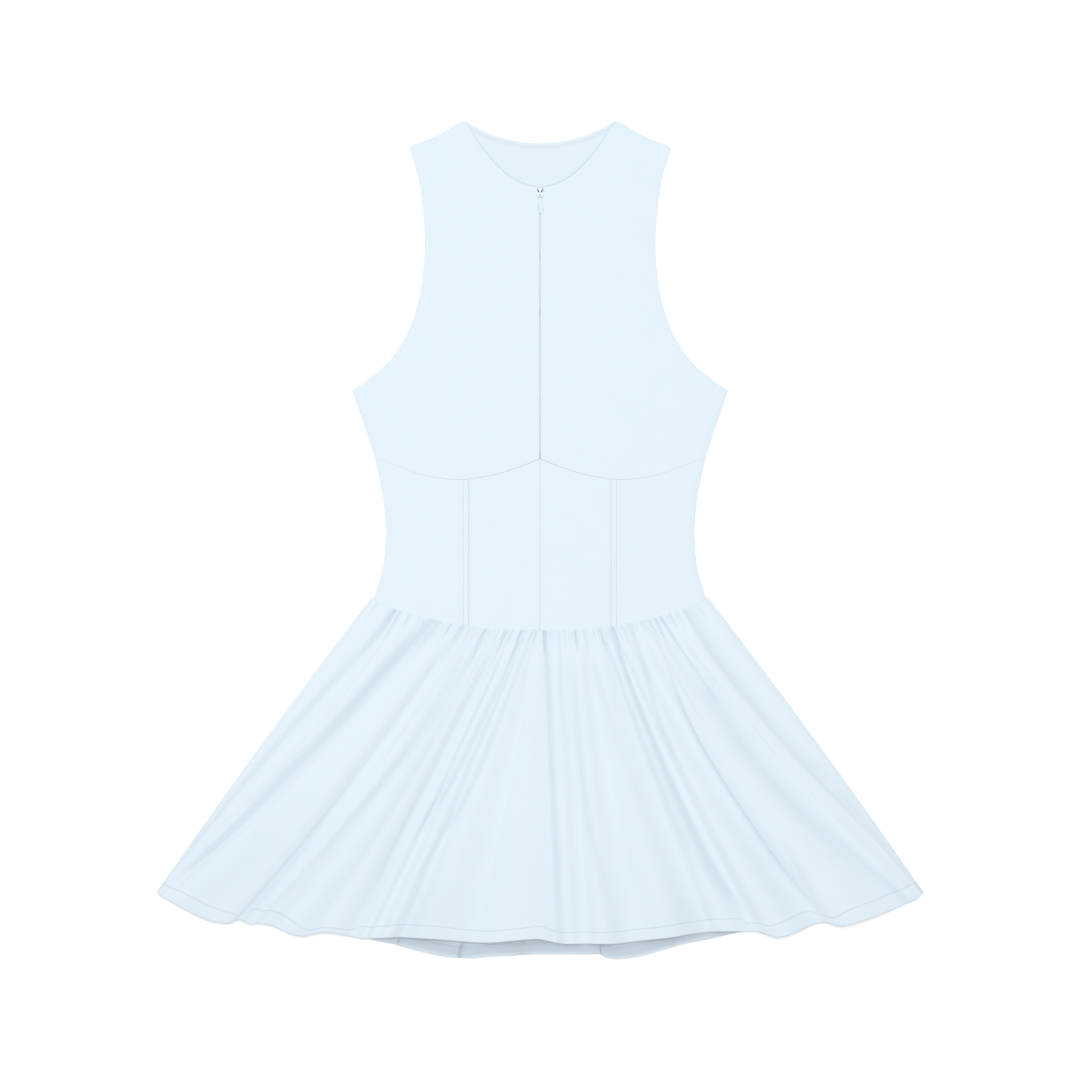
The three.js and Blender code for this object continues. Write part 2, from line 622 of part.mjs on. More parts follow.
// Pull: a drop-shaped plate with an eye round the slider's bar, lying down the zip.
function zipPull() {
  const { long, thick, widestDown, neckDown } = PULL;
  const [neckHalf, half, eyeHalf] = [PULL.neck / 2, PULL.wide / 2, EYE.wide / 2];
  const [neckY0, widestY, lowY] = [BAR.y - neckDown, BAR.y - widestDown, BAR.y - long];
  const rootY = BAR.y - (EYE.inner + EYE.outer) / 2;
  const swell = (neckY0 - widestY) / 2;
  const sag = (widestY - lowY) * 0.7;
  const drop = new THREE.Shape();
  drop.moveTo(-eyeHalf, rootY);
  drop.lineTo(-neckHalf, neckY0);
  drop.bezierCurveTo(-neckHalf, neckY0 - swell, -half, widestY + swell, -half, widestY);
  drop.bezierCurveTo(-half, widestY - sag, -half / 2, lowY, 0, lowY);
  drop.bezierCurveTo(half / 2, lowY, half, widestY - sag, half, widestY);
  drop.bezierCurveTo(half, widestY + swell, neckHalf, neckY0 - swell, neckHalf, neckY0);
  drop.lineTo(eyeHalf, rootY);
  drop.closePath();
  const ring = new THREE.Shape().absarc(0, 0, EYE.outer, 0, 2 * Math.PI);
  ring.holes.push(new THREE.Path().absarc(0, 0, EYE.inner, 0, 2 * Math.PI, true));
  const eye = slab(ring, EYE.wide, -EYE.wide / 2, 12).rotateY(Math.PI / 2).translate(0, BAR.y, BAR_Z);
  const bore = new THREE.CylinderGeometry(EYE.inner, EYE.inner, 4 * EYE.wide, 24);
  bore.rotateZ(Math.PI / 2).translate(0, BAR.y, BAR_Z);
  const plate = solid(slab(drop, thick, PLATE_LOW, 6)).subtract(solid(bore));
  return geometryOf(plate.add(solid(eye)));
}

const KNIT = new THREE.MeshStandardMaterial({ color: 0xe5f2fc, roughness: 0.8, metalness: 0 });
const KNIT_INSIDE = new THREE.MeshStandardMaterial({ color: 0xdfedf8, roughness: 0.85, metalness: 0 });
const TAPE_CLOTH = new THREE.MeshStandardMaterial({ color: 0xdceaf6, roughness: 0.7, metalness: 0 });
const LACQUER = new THREE.MeshStandardMaterial({ color: 0xe6f1fa, roughness: 0.35, metalness: 0.2 });

const dress = new THREE.Group();
function add(name, geometry, material) {
  const mesh = new THREE.Mesh(geometry, material);
  mesh.name = name;
  dress.add(mesh);
}

add("body_back", bodyBack(), KNIT_INSIDE);
add("skirt_back", skirtBack(), KNIT_INSIDE);
for (const [name, side] of [
  ["left", -1],
  ["right", 1],
]) {
  add(`bust_front_${name}`, bustFront(side), KNIT);
  add(`waist_middle_${name}`, waistMiddle(side), KNIT);
  add(`waist_side_${name}`, waistSide(side), KNIT);
  add(`zip_tape_${name}`, zipTape(side), TAPE_CLOTH);
}
add("skirt_front", skirtFront(), KNIT);
add("zip_slider", zipSlider(), LACQUER);
add("zip_pull", zipPull(), LACQUER);

export default dress;
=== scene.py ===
"""Sleeveless zip dress in a smooth pale stretch knit, laid flat on a table with its front up.

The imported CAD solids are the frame. Each cloth piece is made here as a thin closed shell on its solid's
form, with the folds, gathers, seams and turned hems of the real dress. The zip gets its coil, slider and pull.
Tables and sizes are in millimetres: X across the dress, Y up to the neck and Z off the table.
"""

import logging
import math
import random
from bisect import bisect_right
from dataclasses import dataclass, field
from enum import Enum
from functools import partial
from typing import Callable, Iterable, Sequence

import bmesh
import bpy
from mathutils import Matrix, Vector, noise


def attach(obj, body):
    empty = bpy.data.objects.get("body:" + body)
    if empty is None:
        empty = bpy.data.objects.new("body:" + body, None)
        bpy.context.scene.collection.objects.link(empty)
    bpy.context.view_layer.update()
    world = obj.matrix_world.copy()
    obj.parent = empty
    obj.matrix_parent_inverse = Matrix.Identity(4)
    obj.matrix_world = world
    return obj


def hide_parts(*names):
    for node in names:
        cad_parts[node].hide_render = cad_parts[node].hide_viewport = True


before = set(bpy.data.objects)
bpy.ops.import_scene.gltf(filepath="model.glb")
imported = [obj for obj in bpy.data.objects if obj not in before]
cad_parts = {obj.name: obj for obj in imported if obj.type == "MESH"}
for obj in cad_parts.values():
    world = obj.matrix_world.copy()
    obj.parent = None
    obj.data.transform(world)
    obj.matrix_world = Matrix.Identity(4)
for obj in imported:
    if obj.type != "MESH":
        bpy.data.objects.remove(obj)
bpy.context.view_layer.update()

log = logging.getLogger("dress")

MM = 0.001

# Distance from a stitch line, in millimetres, that counts as nowhere near one.
FAR = 99.0

# Distances of a panel's rows from a seam, where they close up.
SEAM_ROWS = (0.0, 0.4, 0.9, 1.5, 2.3, 3.5, 5.2, 7.5)

Point = tuple[float, float]
Edge = Callable[[float], Point]


def mix(a: float, b: float, t: float) -> float:
    """Value t of the way from a to b."""
    return a + (b - a) * t


def clamp(value: float, low: float = 0.0, high: float = 1.0) -> float:
    """Value kept between low and high."""
    return min(high, max(low, value))


def smooth(t: float) -> float:
    """Soft step from 0 to 1 as t goes from 0 to 1."""
    t = clamp(t)
    return t * t * (3 - 2 * t)


def dip(distance: float, width: float) -> float:
    """Soft dent of depth 1 at no distance, gone at about twice its width."""
    return math.exp(-((distance / width) ** 2))


def ripple(x: float, y: float, size: float, layer: float = 0.0) -> float:
    """Gentle uneven wave of the cloth, about -0.5 to 0.5, with bumps of the given size."""
    return noise.noise(Vector((x / size, y / size, layer)))


class Column:
    """Value between the rows of a table: a cubic that never overshoots."""

    def __init__(self, rows: Iterable[Point]) -> None:
        """Works out the slope at each row.

        Args:
            rows: Pairs of a place and its value, in rising order of place.
        """
        self.places, self.values = (list(part) for part in zip(*rows))
        steps = [
            (b - a) / (q - p)
            for p, q, a, b in zip(self.places, self.places[1:], self.values, self.values[1:])
        ]
        self.slopes = []
        for before, after in zip(steps[:1] + steps, steps + steps[-1:]):
            self.slopes.append(2 * before * after / (before + after) if before * after > 0 else 0.0)

    def __call__(self, at: float) -> float:
        """Value at a place, held at the ends.

        Args:
            at: The place.

        Returns:
            The value.
        """
        i = int(clamp(bisect_right(self.places, at) - 1, 0, len(self.places) - 2))
        wide = self.places[i + 1] - self.places[i]
        t = clamp((at - self.places[i]) / wide)
        return (
            self.values[i] * (1 + 2 * t) * (1 - t) ** 2
            + self.slopes[i] * wide * t * (1 - t) ** 2
            + self.values[i + 1] * t * t * (3 - 2 * t)
            - self.slopes[i + 1] * wide * t * t * (1 - t)
        )


class Curve:
    """Smooth curve through points, walked by length from 0 to 1."""

    SAMPLES = 400

    def __init__(self, points: Sequence[Point]) -> None:
        """Measures the curve.

        Args:
            points: The points in order.
        """
        self.points = [Vector(p) for p in points]
        self.lengths = [0.0]
        before = self._at(0)
        for i in range(1, self.SAMPLES + 1):
            here = self._at(i / self.SAMPLES)
            self.lengths.append(self.lengths[-1] + (here - before).length)
            before = here

    def _at(self, t: float) -> Vector:
        """Point at a share of the way counted in points.

        Args:
            t: The share.

        Returns:
            The point.
        """
        last = len(self.points) - 1
        i = min(int(t * last), last - 1)
        s = t * last - i
        before, a, b, after = (self.points[int(clamp(k, 0, last))] for k in (i - 1, i, i + 1, i + 2))
        va, vb = (b - before) / 2, (after - a) / 2
        return (2 * a - 2 * b + va + vb) * s**3 + (3 * b - 3 * a - 2 * va - vb) * s**2 + va * s + a

    def __call__(self, t: float) -> Point:
        """Point at a share of the length.

        Args:
            t: The share.

        Returns:
            The point.
        """
        want = clamp(t) * self.lengths[-1]
        i = int(clamp(bisect_right(self.lengths, want) - 1, 0, self.SAMPLES - 1))
        part = self.lengths[i + 1] - self.lengths[i]
        return tuple(self._at((i + (want - self.lengths[i]) / part) / self.SAMPLES))


def two_edges(first: Edge, second: Edge, share: float) -> Edge:
    """Edge made of two curves that meet at a corner.

    Args:
        first: The curve up to the corner.
        second: The curve from there on.
        share: Where along the edge the corner lies.

    Returns:
        The edge.
    """

    def edge(t: float) -> Point:
        """Point at a share of the edge."""
        return first(t / share) if t <= share else second((t - share) / (1 - share))

    return edge


def spaced(length: float, step: float, fine_start: bool = True, fine_end: bool = True) -> list[float]:
    """Shares of a length where a panel has its rows, close together next to a seam.

    Args:
        length: Length of the panel.
        step: Distance between rows away from the seams.
        fine_start: Whether the rows close up at the start.
        fine_end: Whether they close up at the end.

    Returns:
        The shares from 0 to 1, in order.
    """
    low = list(SEAM_ROWS) if fine_start else [0.0]
    high = [length - d for d in reversed(SEAM_ROWS)] if fine_end else [length]
    count = max(1, round((high[0] - low[-1]) / step))
    middle = [mix(low[-1], high[0], i / count) for i in range(1, count)]
    return [at / length for at in low + middle + high]


# ---- Finishes


class Socket:
    """Output of a shader node that can stand in a sum, a product and so on."""

    def __init__(self, shader: "Shader", output: bpy.types.NodeSocket) -> None:
        """Keeps the shader that the node is in and the output itself."""
        self.shader = shader
        self.output = output

    def _with(self, operation: str, *values: "Socket | float") -> "Socket":
        """Math node of these values."""
        return self.shader.node("ShaderNodeMath", {"operation": operation}, *values)

    def __add__(self, other: "Socket | float") -> "Socket":
        """This plus other."""
        return self._with("ADD", self, other)

    __radd__ = __add__

    def __sub__(self, other: "Socket | float") -> "Socket":
        """This less other."""
        return self._with("SUBTRACT", self, other)

    def __rsub__(self, other: float) -> "Socket":
        """Other less this."""
        return self._with("SUBTRACT", other, self)

    def __mul__(self, other: "Socket | float") -> "Socket":
        """This times other."""
        return self._with("MULTIPLY", self, other)

    __rmul__ = __mul__

    def __truediv__(self, other: "Socket | float") -> "Socket":
        """This over other."""
        return self._with("DIVIDE", self, other)

    def __pow__(self, power: float) -> "Socket":
        """This to a power."""
        return self._with("POWER", self, power)

    def sine(self) -> "Socket":
        """Sine of this."""
        return self._with("SINE", self)

    def size(self) -> "Socket":
        """This without its sign."""
        return self._with("ABSOLUTE", self)

    def part(self) -> "Socket":
        """This less the whole number below it."""
        return self._with("FRACT", self)

    def within(self, width: float) -> "Socket":
        """Groove round 0: 1 there, falling to 0 at width on both sides."""
        ramp = {"interpolation_type": "SMOOTHSTEP"}
        return self.shader.node("ShaderNodeMapRange", ramp, self.size(), 0.0, width, 1.0, 0.0)


class Shader:
    """Material under construction, with one Principled shader."""

    def __init__(self, name: str) -> None:
        """Makes the material with its one shader.

        Args:
            name: Name of the material.
        """
        self.material = bpy.data.materials.new(name)
        self.material.use_nodes = True
        self.tree = self.material.node_tree
        self.tree.nodes.clear()
        self.surface = self.tree.nodes.new("ShaderNodeBsdfPrincipled")
        output = self.tree.nodes.new("ShaderNodeOutputMaterial")
        self.tree.links.new(self.surface.outputs["BSDF"], output.inputs["Surface"])

    def node(
        self,
        kind: str,
        settings: dict[str, object],
        *values: Socket | float | Sequence[float],
        named: dict[str, Socket | float | Sequence[float]] | None = None,
        output: str | int = 0,
    ) -> Socket:
        """Adds a node.

        Args:
            kind: The node's type.
            settings: Its settings, which are set before its sockets.
            values: Values or links of its first sockets.
            named: Values or links of sockets by name.
            output: Which output is returned.

        Returns:
            The output.
        """
        node = self.tree.nodes.new(kind)
        for key, value in settings.items():
            setattr(node, key, value)
        for key, value in [*enumerate(values), *(named or {}).items()]:
            self._set(node.inputs[key], value)
        return Socket(self, node.outputs[output])

    def _set(self, socket: bpy.types.NodeSocket, value: Socket | float | Sequence[float]) -> None:
        """Links or sets one input.

        Args:
            socket: The input.
            value: The output to link to it, or its value.
        """
        if isinstance(value, Socket):
            self.tree.links.new(value.output, socket)
        else:
            socket.default_value = value

    def set(self, **values: Socket | float | Sequence[float]) -> None:
        """Sets the Principled shader's sockets, with _ for a space in a name."""
        for key, value in values.items():
            self._set(self.surface.inputs[key.replace("_", " ")], value)

    def noise(self, place: Socket, scale: float, detail: float = 2.0) -> Socket:
        """Noise from 0 to 1 over a place."""
        named = {"Vector": place, "Scale": scale, "Detail": detail, "Roughness": 0.5}
        return self.node("ShaderNodeTexNoise", {}, named=named)

    def blend(self, share: Socket | float, a: Socket | Sequence[float], b: Sequence[float]) -> Socket:
        """Mixes two colours.

        Args:
            share: How far from a to b.
            a: The first colour.
            b: The second colour.

        Returns:
            The mixed colour.
        """
        named = {"Factor": share, "A": a if isinstance(a, Socket) else (*a, 1.0), "B": (*b, 1.0)}
        node = self.tree.nodes.new("ShaderNodeMix")
        node.data_type = "RGBA"
        sockets = {s.name: s for s in node.inputs if s.enabled}
        for key, value in named.items():
            self._set(sockets[key], value)
        return Socket(self, next(s for s in node.outputs if s.enabled))

    def bump(self, height: Socket, depth: float, strength: float = 1.0) -> None:
        """Raises the surface by height, from 0 to 1 of depth in millimetres."""
        named = {"Height": height, "Distance": depth * MM, "Strength": strength}
        self.set(Normal=self.node("ShaderNodeBump", {}, named=named))

    def grain(self) -> tuple[Socket, Socket, Socket]:
        """Place on the cut cloth in millimetres.

        Returns:
            The place across, the place along, and both as a vector.
        """
        place = self.node("ShaderNodeUVMap", {"uv_map": "grain"})
        split = self.tree.nodes.new("ShaderNodeSeparateXYZ")
        self.tree.links.new(place.output, split.inputs[0])
        return Socket(self, split.outputs[0]), Socket(self, split.outputs[1]), place

    def value(self, name: str) -> Socket:
        """Value that the sheet carries under this name."""
        return self.node("ShaderNodeAttribute", {"attribute_name": name}, output="Fac")


@dataclass(frozen=True)
class Knit:
    """Smooth stretch knit."""

    name: str
    colour: tuple[float, float, float]
    shade: tuple[float, float, float]
    # Colour of the painted shade in the folds and the stitch grooves.
    fold: tuple[float, float, float]
    wale: float = 0.62
    course: float = 0.44
    stitch_lines: tuple[float, ...] = (0.0,)
    # How strongly the stitch grooves are darkened by painted shade.
    stitch_painted_shade: float = 1.0
    stitch_wide: float = 0.75
    relief: float = 0.5

    def material(self) -> bpy.types.Material:
        """Knit loops at their real size, a faint unevenness, the grooves of the stitch lines, and painted
        shade in the folds and the stitch grooves.

        Returns:
            The material.
        """
        shader = Shader(self.name)
        across, along, place = shader.grain()
        stitch = shader.value("stitch")
        groove = sum((stitch - line).within(self.stitch_wide) for line in self.stitch_lines)
        side = (across * (1 / self.wale)).part() - 0.5
        loop = (along * (2 * math.pi / self.course) + side.size() * 5.0).sine() * 0.5 + 0.5
        rib = 1.0 - (side * 2.0) ** 2.0
        cloud = shader.noise(place, 0.035, 3.0)
        fleck = shader.noise(place, 1.4, 2.0)
        worn = (cloud - 0.5) * 0.5 + (fleck - 0.5) * 0.2 + 0.25
        plain = shader.blend(worn, self.colour, self.shade)
        # Painted shade: the sheet's shade value and the stitch grooves darken the colour towards the
        # painted-shade colour.
        deep = shader.value("tone") + groove * self.stitch_painted_shade
        shader.set(Base_Color=shader.blend(deep, plain, self.fold))
        shader.set(Roughness=(fleck - 0.5) * 0.12 + 0.8)
        soft = shader.noise(place, 0.11, 3.0)
        height = rib * 0.04 + loop * 0.04 + soft * 0.5 + fleck * 0.03 - groove * 0.5
        shader.bump(height, self.relief, 0.7)
        shader.set(Sheen_Weight=0.12, Sheen_Roughness=0.5, Sheen_Tint=(0.9, 0.95, 1.0, 1.0))
        shader.set(Specular_IOR_Level=0.25)
        return shader.material


@dataclass(frozen=True)
class Woven:
    """Fine woven tape of the zip."""

    name: str = "zip_tape"
    colour: tuple[float, float, float] = (0.52, 0.6, 0.67)
    thread: float = 0.5

    def material(self) -> bpy.types.Material:
        """Slanted ribs of a tape, in its dyed colour.

        Returns:
            The material.
        """
        shader = Shader(self.name)
        across, along, place = shader.grain()
        slant = (across.size() + along) * (2 * math.pi / self.thread)
        rib = slant.sine() * 0.5 + 0.5
        fleck = shader.noise(place, 0.8)
        dark = tuple(0.82 * c for c in self.colour)
        shader.set(Base_Color=shader.blend(rib * 0.4 + fleck * 0.5, dark, self.colour))
        shader.set(Roughness=fleck * 0.1 + 0.68)
        shader.bump(rib, 0.08)
        return shader.material


@dataclass(frozen=True)
class Thread:
    """Sewing thread, twisted."""

    name: str = "thread"
    colour: tuple[float, float, float] = (0.58, 0.66, 0.72)

    def material(self) -> bpy.types.Material:
        """Twisted strands with a soft sheen.

        Returns:
            The material.
        """
        shader = Shader(self.name)
        place = shader.node("ShaderNodeTexCoord", {}, output="Object")
        named = {"Vector": place, "Scale": 900.0, "Distortion": 1.0}
        slanted = {"bands_direction": "DIAGONAL"}
        twist = shader.node("ShaderNodeTexWave", slanted, named=named, output="Fac")
        dark = tuple(0.8 * c for c in self.colour)
        shader.set(Base_Color=shader.blend(twist, dark, self.colour))
        shader.set(Roughness=twist * 0.1 + 0.55)
        shader.bump(twist, 0.05)
        return shader.material


@dataclass(frozen=True)
class Coated:
    """Metal under a satin lacquer, bare nylon, or a near-black skin that is painted shade."""

    name: str
    colour: tuple[float, float, float]
    roughness: float
    coat: float

    def material(self) -> bpy.types.Material:
        """Slightly uneven skin with a coat over it.

        Returns:
            The material.
        """
        shader = Shader(self.name)
        place = shader.node("ShaderNodeTexCoord", {}, output="Object")
        cloud = shader.noise(place, 420.0, 3.0)
        dark = tuple(0.93 * c for c in self.colour)
        shader.set(Base_Color=shader.blend(cloud, dark, self.colour))
        shader.set(Roughness=cloud * 0.12 + self.roughness)
        shader.set(Coat_Weight=self.coat, Coat_Roughness=0.2)
        shader.bump(cloud, 0.015)
        return shader.material


@dataclass(frozen=True)
class Paper:
    """Plain pale sweep that the dress lies on."""

    name: str = "pale_sweep"
    colour: tuple[float, float, float] = (0.95, 0.95, 0.95)

    def material(self) -> bpy.types.Material:
        """Matt paper with a very faint tooth.

        Returns:
            The material.
        """
        shader = Shader(self.name)
        place = shader.node("ShaderNodeTexCoord", {}, output="Object")
        tooth = shader.noise(place, 300.0)
        dark = tuple(0.995 * c for c in self.colour)
        shader.set(Base_Color=shader.blend(tooth, dark, self.colour))
        shader.set(Roughness=0.9, Specular_IOR_Level=0.1)
        return shader.material


class Finish(Enum):
    """Finishes of the dress by the record's slots, and those with no slot of their own."""

    KNIT = "knit"
    INSIDE = "knit_inside"
    TAPE = "zip_tape"
    LACQUER = "lacquer"
    THREAD = "thread"
    NYLON = "nylon"
    # Near-black painted shade for the inside of the slider.
    THROAT_PAINTED_SHADE = "throat_painted_shade"


class Wardrobe:
    """The materials, each made once."""

    def __init__(self) -> None:
        """Makes every finish."""
        # The third colour of each knit is its painted shade; the inside's is deeper for the painted shadow
        # under the front's hem.
        makers = {
            Finish.KNIT: Knit("knit", (0.645, 0.731, 0.793), (0.61, 0.703, 0.778), (0.553, 0.637, 0.712)),
            Finish.INSIDE: Knit(
                "knit_inside",
                (0.64, 0.724, 0.783),
                (0.605, 0.694, 0.764),
                (0.47, 0.545, 0.61),
                wale=0.7,
                stitch_lines=(0.0, 1.5),
                stitch_painted_shade=0.12,
            ),
            Finish.TAPE: Woven(),
            Finish.LACQUER: Coated("lacquer", (0.7, 0.785, 0.845), 0.36, 0.35),
            Finish.THREAD: Thread(),
            Finish.NYLON: Coated("nylon", (0.62, 0.7, 0.77), 0.4, 0.0),
            # Near-black painted shade seen through the slider's slots.
            Finish.THROAT_PAINTED_SHADE: Coated("throat_painted_shade", (0.05, 0.075, 0.1), 0.5, 0.0),
        }
        self.materials = {finish: maker.material() for finish, maker in makers.items()}

    def dress(self, piece: bpy.types.Object, finish: Finish, slot: Finish | None = None) -> None:
        """Gives a piece its finish.

        Args:
            piece: The piece.
            finish: Its finish.
            slot: The record's slot that it follows, if that isn't the finish itself; not used.
        """
        piece.data.materials.clear()
        piece.data.materials.append(self.materials[finish])


# ---- Making pieces


def finished(bm: bmesh.types.BMesh, name: str, body: str = "dress") -> bpy.types.Object:
    """Turns a shape in millimetres into a piece that rides on a body.

    Args:
        bm: The shape, which is used up.
        name: Name of the piece.
        body: Body it rides on.

    Returns:
        The piece, in metres, at the origin.
    """
    bmesh.ops.scale(bm, vec=(MM, MM, MM), verts=bm.verts)
    for face in bm.faces:
        face.smooth = True
    mesh = bpy.data.meshes.new(name)
    bm.to_mesh(mesh)
    bm.free()
    piece = bpy.data.objects.new(name, mesh)
    bpy.context.scene.collection.objects.link(piece)
    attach(piece, body)
    log.info("%s: %d faces", name, len(mesh.polygons))
    return piece


def rounded(
    bm: bmesh.types.BMesh,
    edges: Iterable[bmesh.types.BMEdge],
    width: float,
    segments: int = 2,
    **options: bool,
) -> None:
    """Rounds edges of a shape.

    Args:
        bm: The shape.
        edges: The edges.
        width: How far the rounding reaches from them.
        segments: Faces across the rounding.
        options: Further options of the bevel.
    """
    bmesh.ops.bevel(
        bm, geom=edges, offset=width, segments=segments, profile=0.5, affect="EDGES", material=-1, **options
    )


def copies(single: bmesh.types.BMesh, places: Iterable[Matrix]) -> bmesh.types.BMesh:
    """Repeats a small shape.

    Args:
        single: The shape, which is used up.
        places: A transform for each copy.

    Returns:
        The copies as one shape.
    """
    template = bpy.data.meshes.new("one_of_many")
    single.to_mesh(template)
    single.free()
    bm = bmesh.new()
    for place in places:
        before = len(bm.verts)
        bm.from_mesh(template)
        bm.verts.ensure_lookup_table()
        bmesh.ops.transform(bm, matrix=place, verts=bm.verts[before:])
    bpy.data.meshes.remove(template)
    return bm


def no_stitch(s: float, t: float) -> float:
    """Distance from a stitch line on a sheet that has none."""
    return FAR


def no_painted_shade(s: float, t: float) -> float:
    """Painted shade of a sheet that has none: its plain colour everywhere."""
    return 0.0


@dataclass
class Sheet:
    """Cloth laid over a grid of rows and finished as one shell.

    place gives the point of its upper face at a share across and a share up, grain the place on the cut
    cloth, stitch the distance from its stitch line, and the shade function how much painted shade darkens its
    colour. Its rim is rounded by rim, or left sharp where that is 0. Rows up to extra_to get twice the
    columns.
    """

    name: str
    across: Sequence[float]
    up: Sequence[float]
    place: Callable[[float, float], Vector]
    grain: Callable[[float, float], Point]
    stitch: Callable[[float, float], float] = no_stitch
    tone: Callable[[float, float], float] = no_painted_shade
    thickness: float = 0.7
    rim: float = 0.16
    extra_to: float = -1.0

    def build(self) -> bpy.types.Object:
        """Makes the piece.

        Returns:
            The piece, without a finish.
        """
        bm = bmesh.new()
        columns, rows = len(self.across) - 1, len(self.up) - 1
        bmesh.ops.create_grid(bm, x_segments=columns, y_segments=rows, size=0.5)
        if self.extra_to >= 0:
            self._add_columns(bm, rows)
        uv = bm.loops.layers.uv.new("grain")
        line = bm.verts.layers.float.new("stitch")
        # Painted shade of each point, which the knit blends towards its shade colour.
        tone = bm.verts.layers.float.new("tone")
        grains = {}
        for vert in bm.verts:
            s = self._share(self.across, (vert.co.x + 0.5) * columns)
            t = self._share(self.up, (vert.co.y + 0.5) * rows)
            grains[vert] = self.grain(s, t)
            vert[line] = self.stitch(s, t)
            vert[tone] = self.tone(s, t)
            vert.co = self.place(s, t)
        for face in bm.faces:
            for loop in face.loops:
                loop[uv].uv = grains[loop.vert]
        bm.normal_update()
        if sum(face.normal.z * face.calc_area() for face in bm.faces) < 0:
            bmesh.ops.reverse_faces(bm, faces=bm.faces)
        self._thicken(bm)
        return finished(bm, self.name)

    def _add_columns(self, bm: bmesh.types.BMesh, rows: int) -> None:
        """Doubles the columns over the rows up to extra_to, where the cloth is gathered.

        Args:
            bm: The plain grid, one unit wide and high.
            rows: Its count of rows.
        """
        top = next(i for i, share in enumerate(self.up) if share > self.extra_to)
        edges = [
            edge
            for edge in bm.edges
            if abs(edge.verts[0].co.y - edge.verts[1].co.y) < 1e-6
            and (edge.verts[0].co.y + 0.5) * rows < top + 0.5
        ]
        bmesh.ops.subdivide_edges(bm, edges=edges, cuts=1, use_grid_fill=True)

    @staticmethod
    def _share(shares: Sequence[float], at: float) -> float:
        """Share at a place counted in rows."""
        i = int(clamp(math.floor(at + 1e-4), 0, len(shares) - 2))
        return mix(shares[i], shares[i + 1], clamp(at - i))

    def _thicken(self, bm: bmesh.types.BMesh) -> None:
        """Gives the sheet its thickness below the upper face, and rounds its rim.

        Args:
            bm: The upper face.
        """
        lower = {vert: vert.normal.copy() for vert in bm.verts}
        under = bm.faces[:]
        bmesh.ops.extrude_face_region(bm, geom=under, use_keep_orig=True)
        for vert, normal in lower.items():
            vert.co -= normal * self.thickness
        bmesh.ops.reverse_faces(bm, faces=under)
        bmesh.ops.recalc_face_normals(bm, faces=bm.faces)
        rims = {f for f in bm.faces if 0 < sum(v in lower for v in f.verts) < len(f.verts)}
        edges = [e for face in rims for e in face.edges if not all(f in rims for f in e.link_faces)]
        if not self.rim:
            for edge in edges:
                edge.smooth = False
            return
        rounded(bm, edges, self.rim, clamp_overlap=True, loop_slide=True)


@dataclass
class Panel:
    """Patch between four curved edges: bottom and top run outwards, inner and outer run upwards."""

    bottom: Edge
    top: Edge
    inner: Edge
    outer: Edge

    def at(self, s: float, t: float) -> Point:
        """Point at a share across and a share up.

        Args:
            s: Share from the inner edge to the outer one.
            t: Share from the bottom to the top.

        Returns:
            The point.
        """
        point = []
        for k in (0, 1):
            low, high = (mix(edge(0)[k], edge(1)[k], s) for edge in (self.bottom, self.top))
            corners = mix(low, high, t)
            ends = mix(self.bottom(s)[k], self.top(s)[k], t) + mix(self.inner(t)[k], self.outer(t)[k], s)
            point.append(ends - corners)
        return point[0], point[1]


@dataclass(frozen=True)
class Stitches:
    """Row of machine stitches."""

    long: float = 2.3
    gap: float = 0.7
    thick: float = 0.3
    sunk: float = 0.15

    def run(self, name: str, lines: Sequence[Sequence[tuple[Vector, Vector]]]) -> bpy.types.Object:
        """Sews along lines.

        Args:
            name: Name of the piece.
            lines: Each line's points with the cloth's normals there, closely spaced.

        Returns:
            The piece with all the stitches.
        """
        single = bmesh.new()
        bmesh.ops.create_uvsphere(single, u_segments=6, v_segments=5, radius=0.5)
        bmesh.ops.rotate(single, verts=single.verts, matrix=Matrix.Rotation(math.pi / 2, 3, "Y"))
        bmesh.ops.scale(single, verts=single.verts, vec=(self.long, self.thick, self.thick))
        return finished(copies(single, (place for line in lines for place in self._places(line))), name)

    def _places(self, line: Sequence[tuple[Vector, Vector]]) -> list[Matrix]:
        """Where each stitch of a line goes.

        Args:
            line: Points with normals.

        Returns:
            A transform for each stitch, from along X to its place.
        """
        places = []
        pitch = self.long + self.gap
        due = pitch / 2
        for (a, up_a), (b, _) in zip(line, line[1:]):
            step = (b - a).length
            while due <= step:
                along = (b - a).normalized()
                side = up_a.cross(along).normalized()
                up = along.cross(side)
                spot = a.lerp(b, due / step) + up * (self.thick / 2 - self.sunk)
                turn = Matrix((along, side, up)).transposed().to_4x4()
                places.append(Matrix.Translation(spot) @ turn)
                due += pitch
            due -= step
        return places


# ---- Body


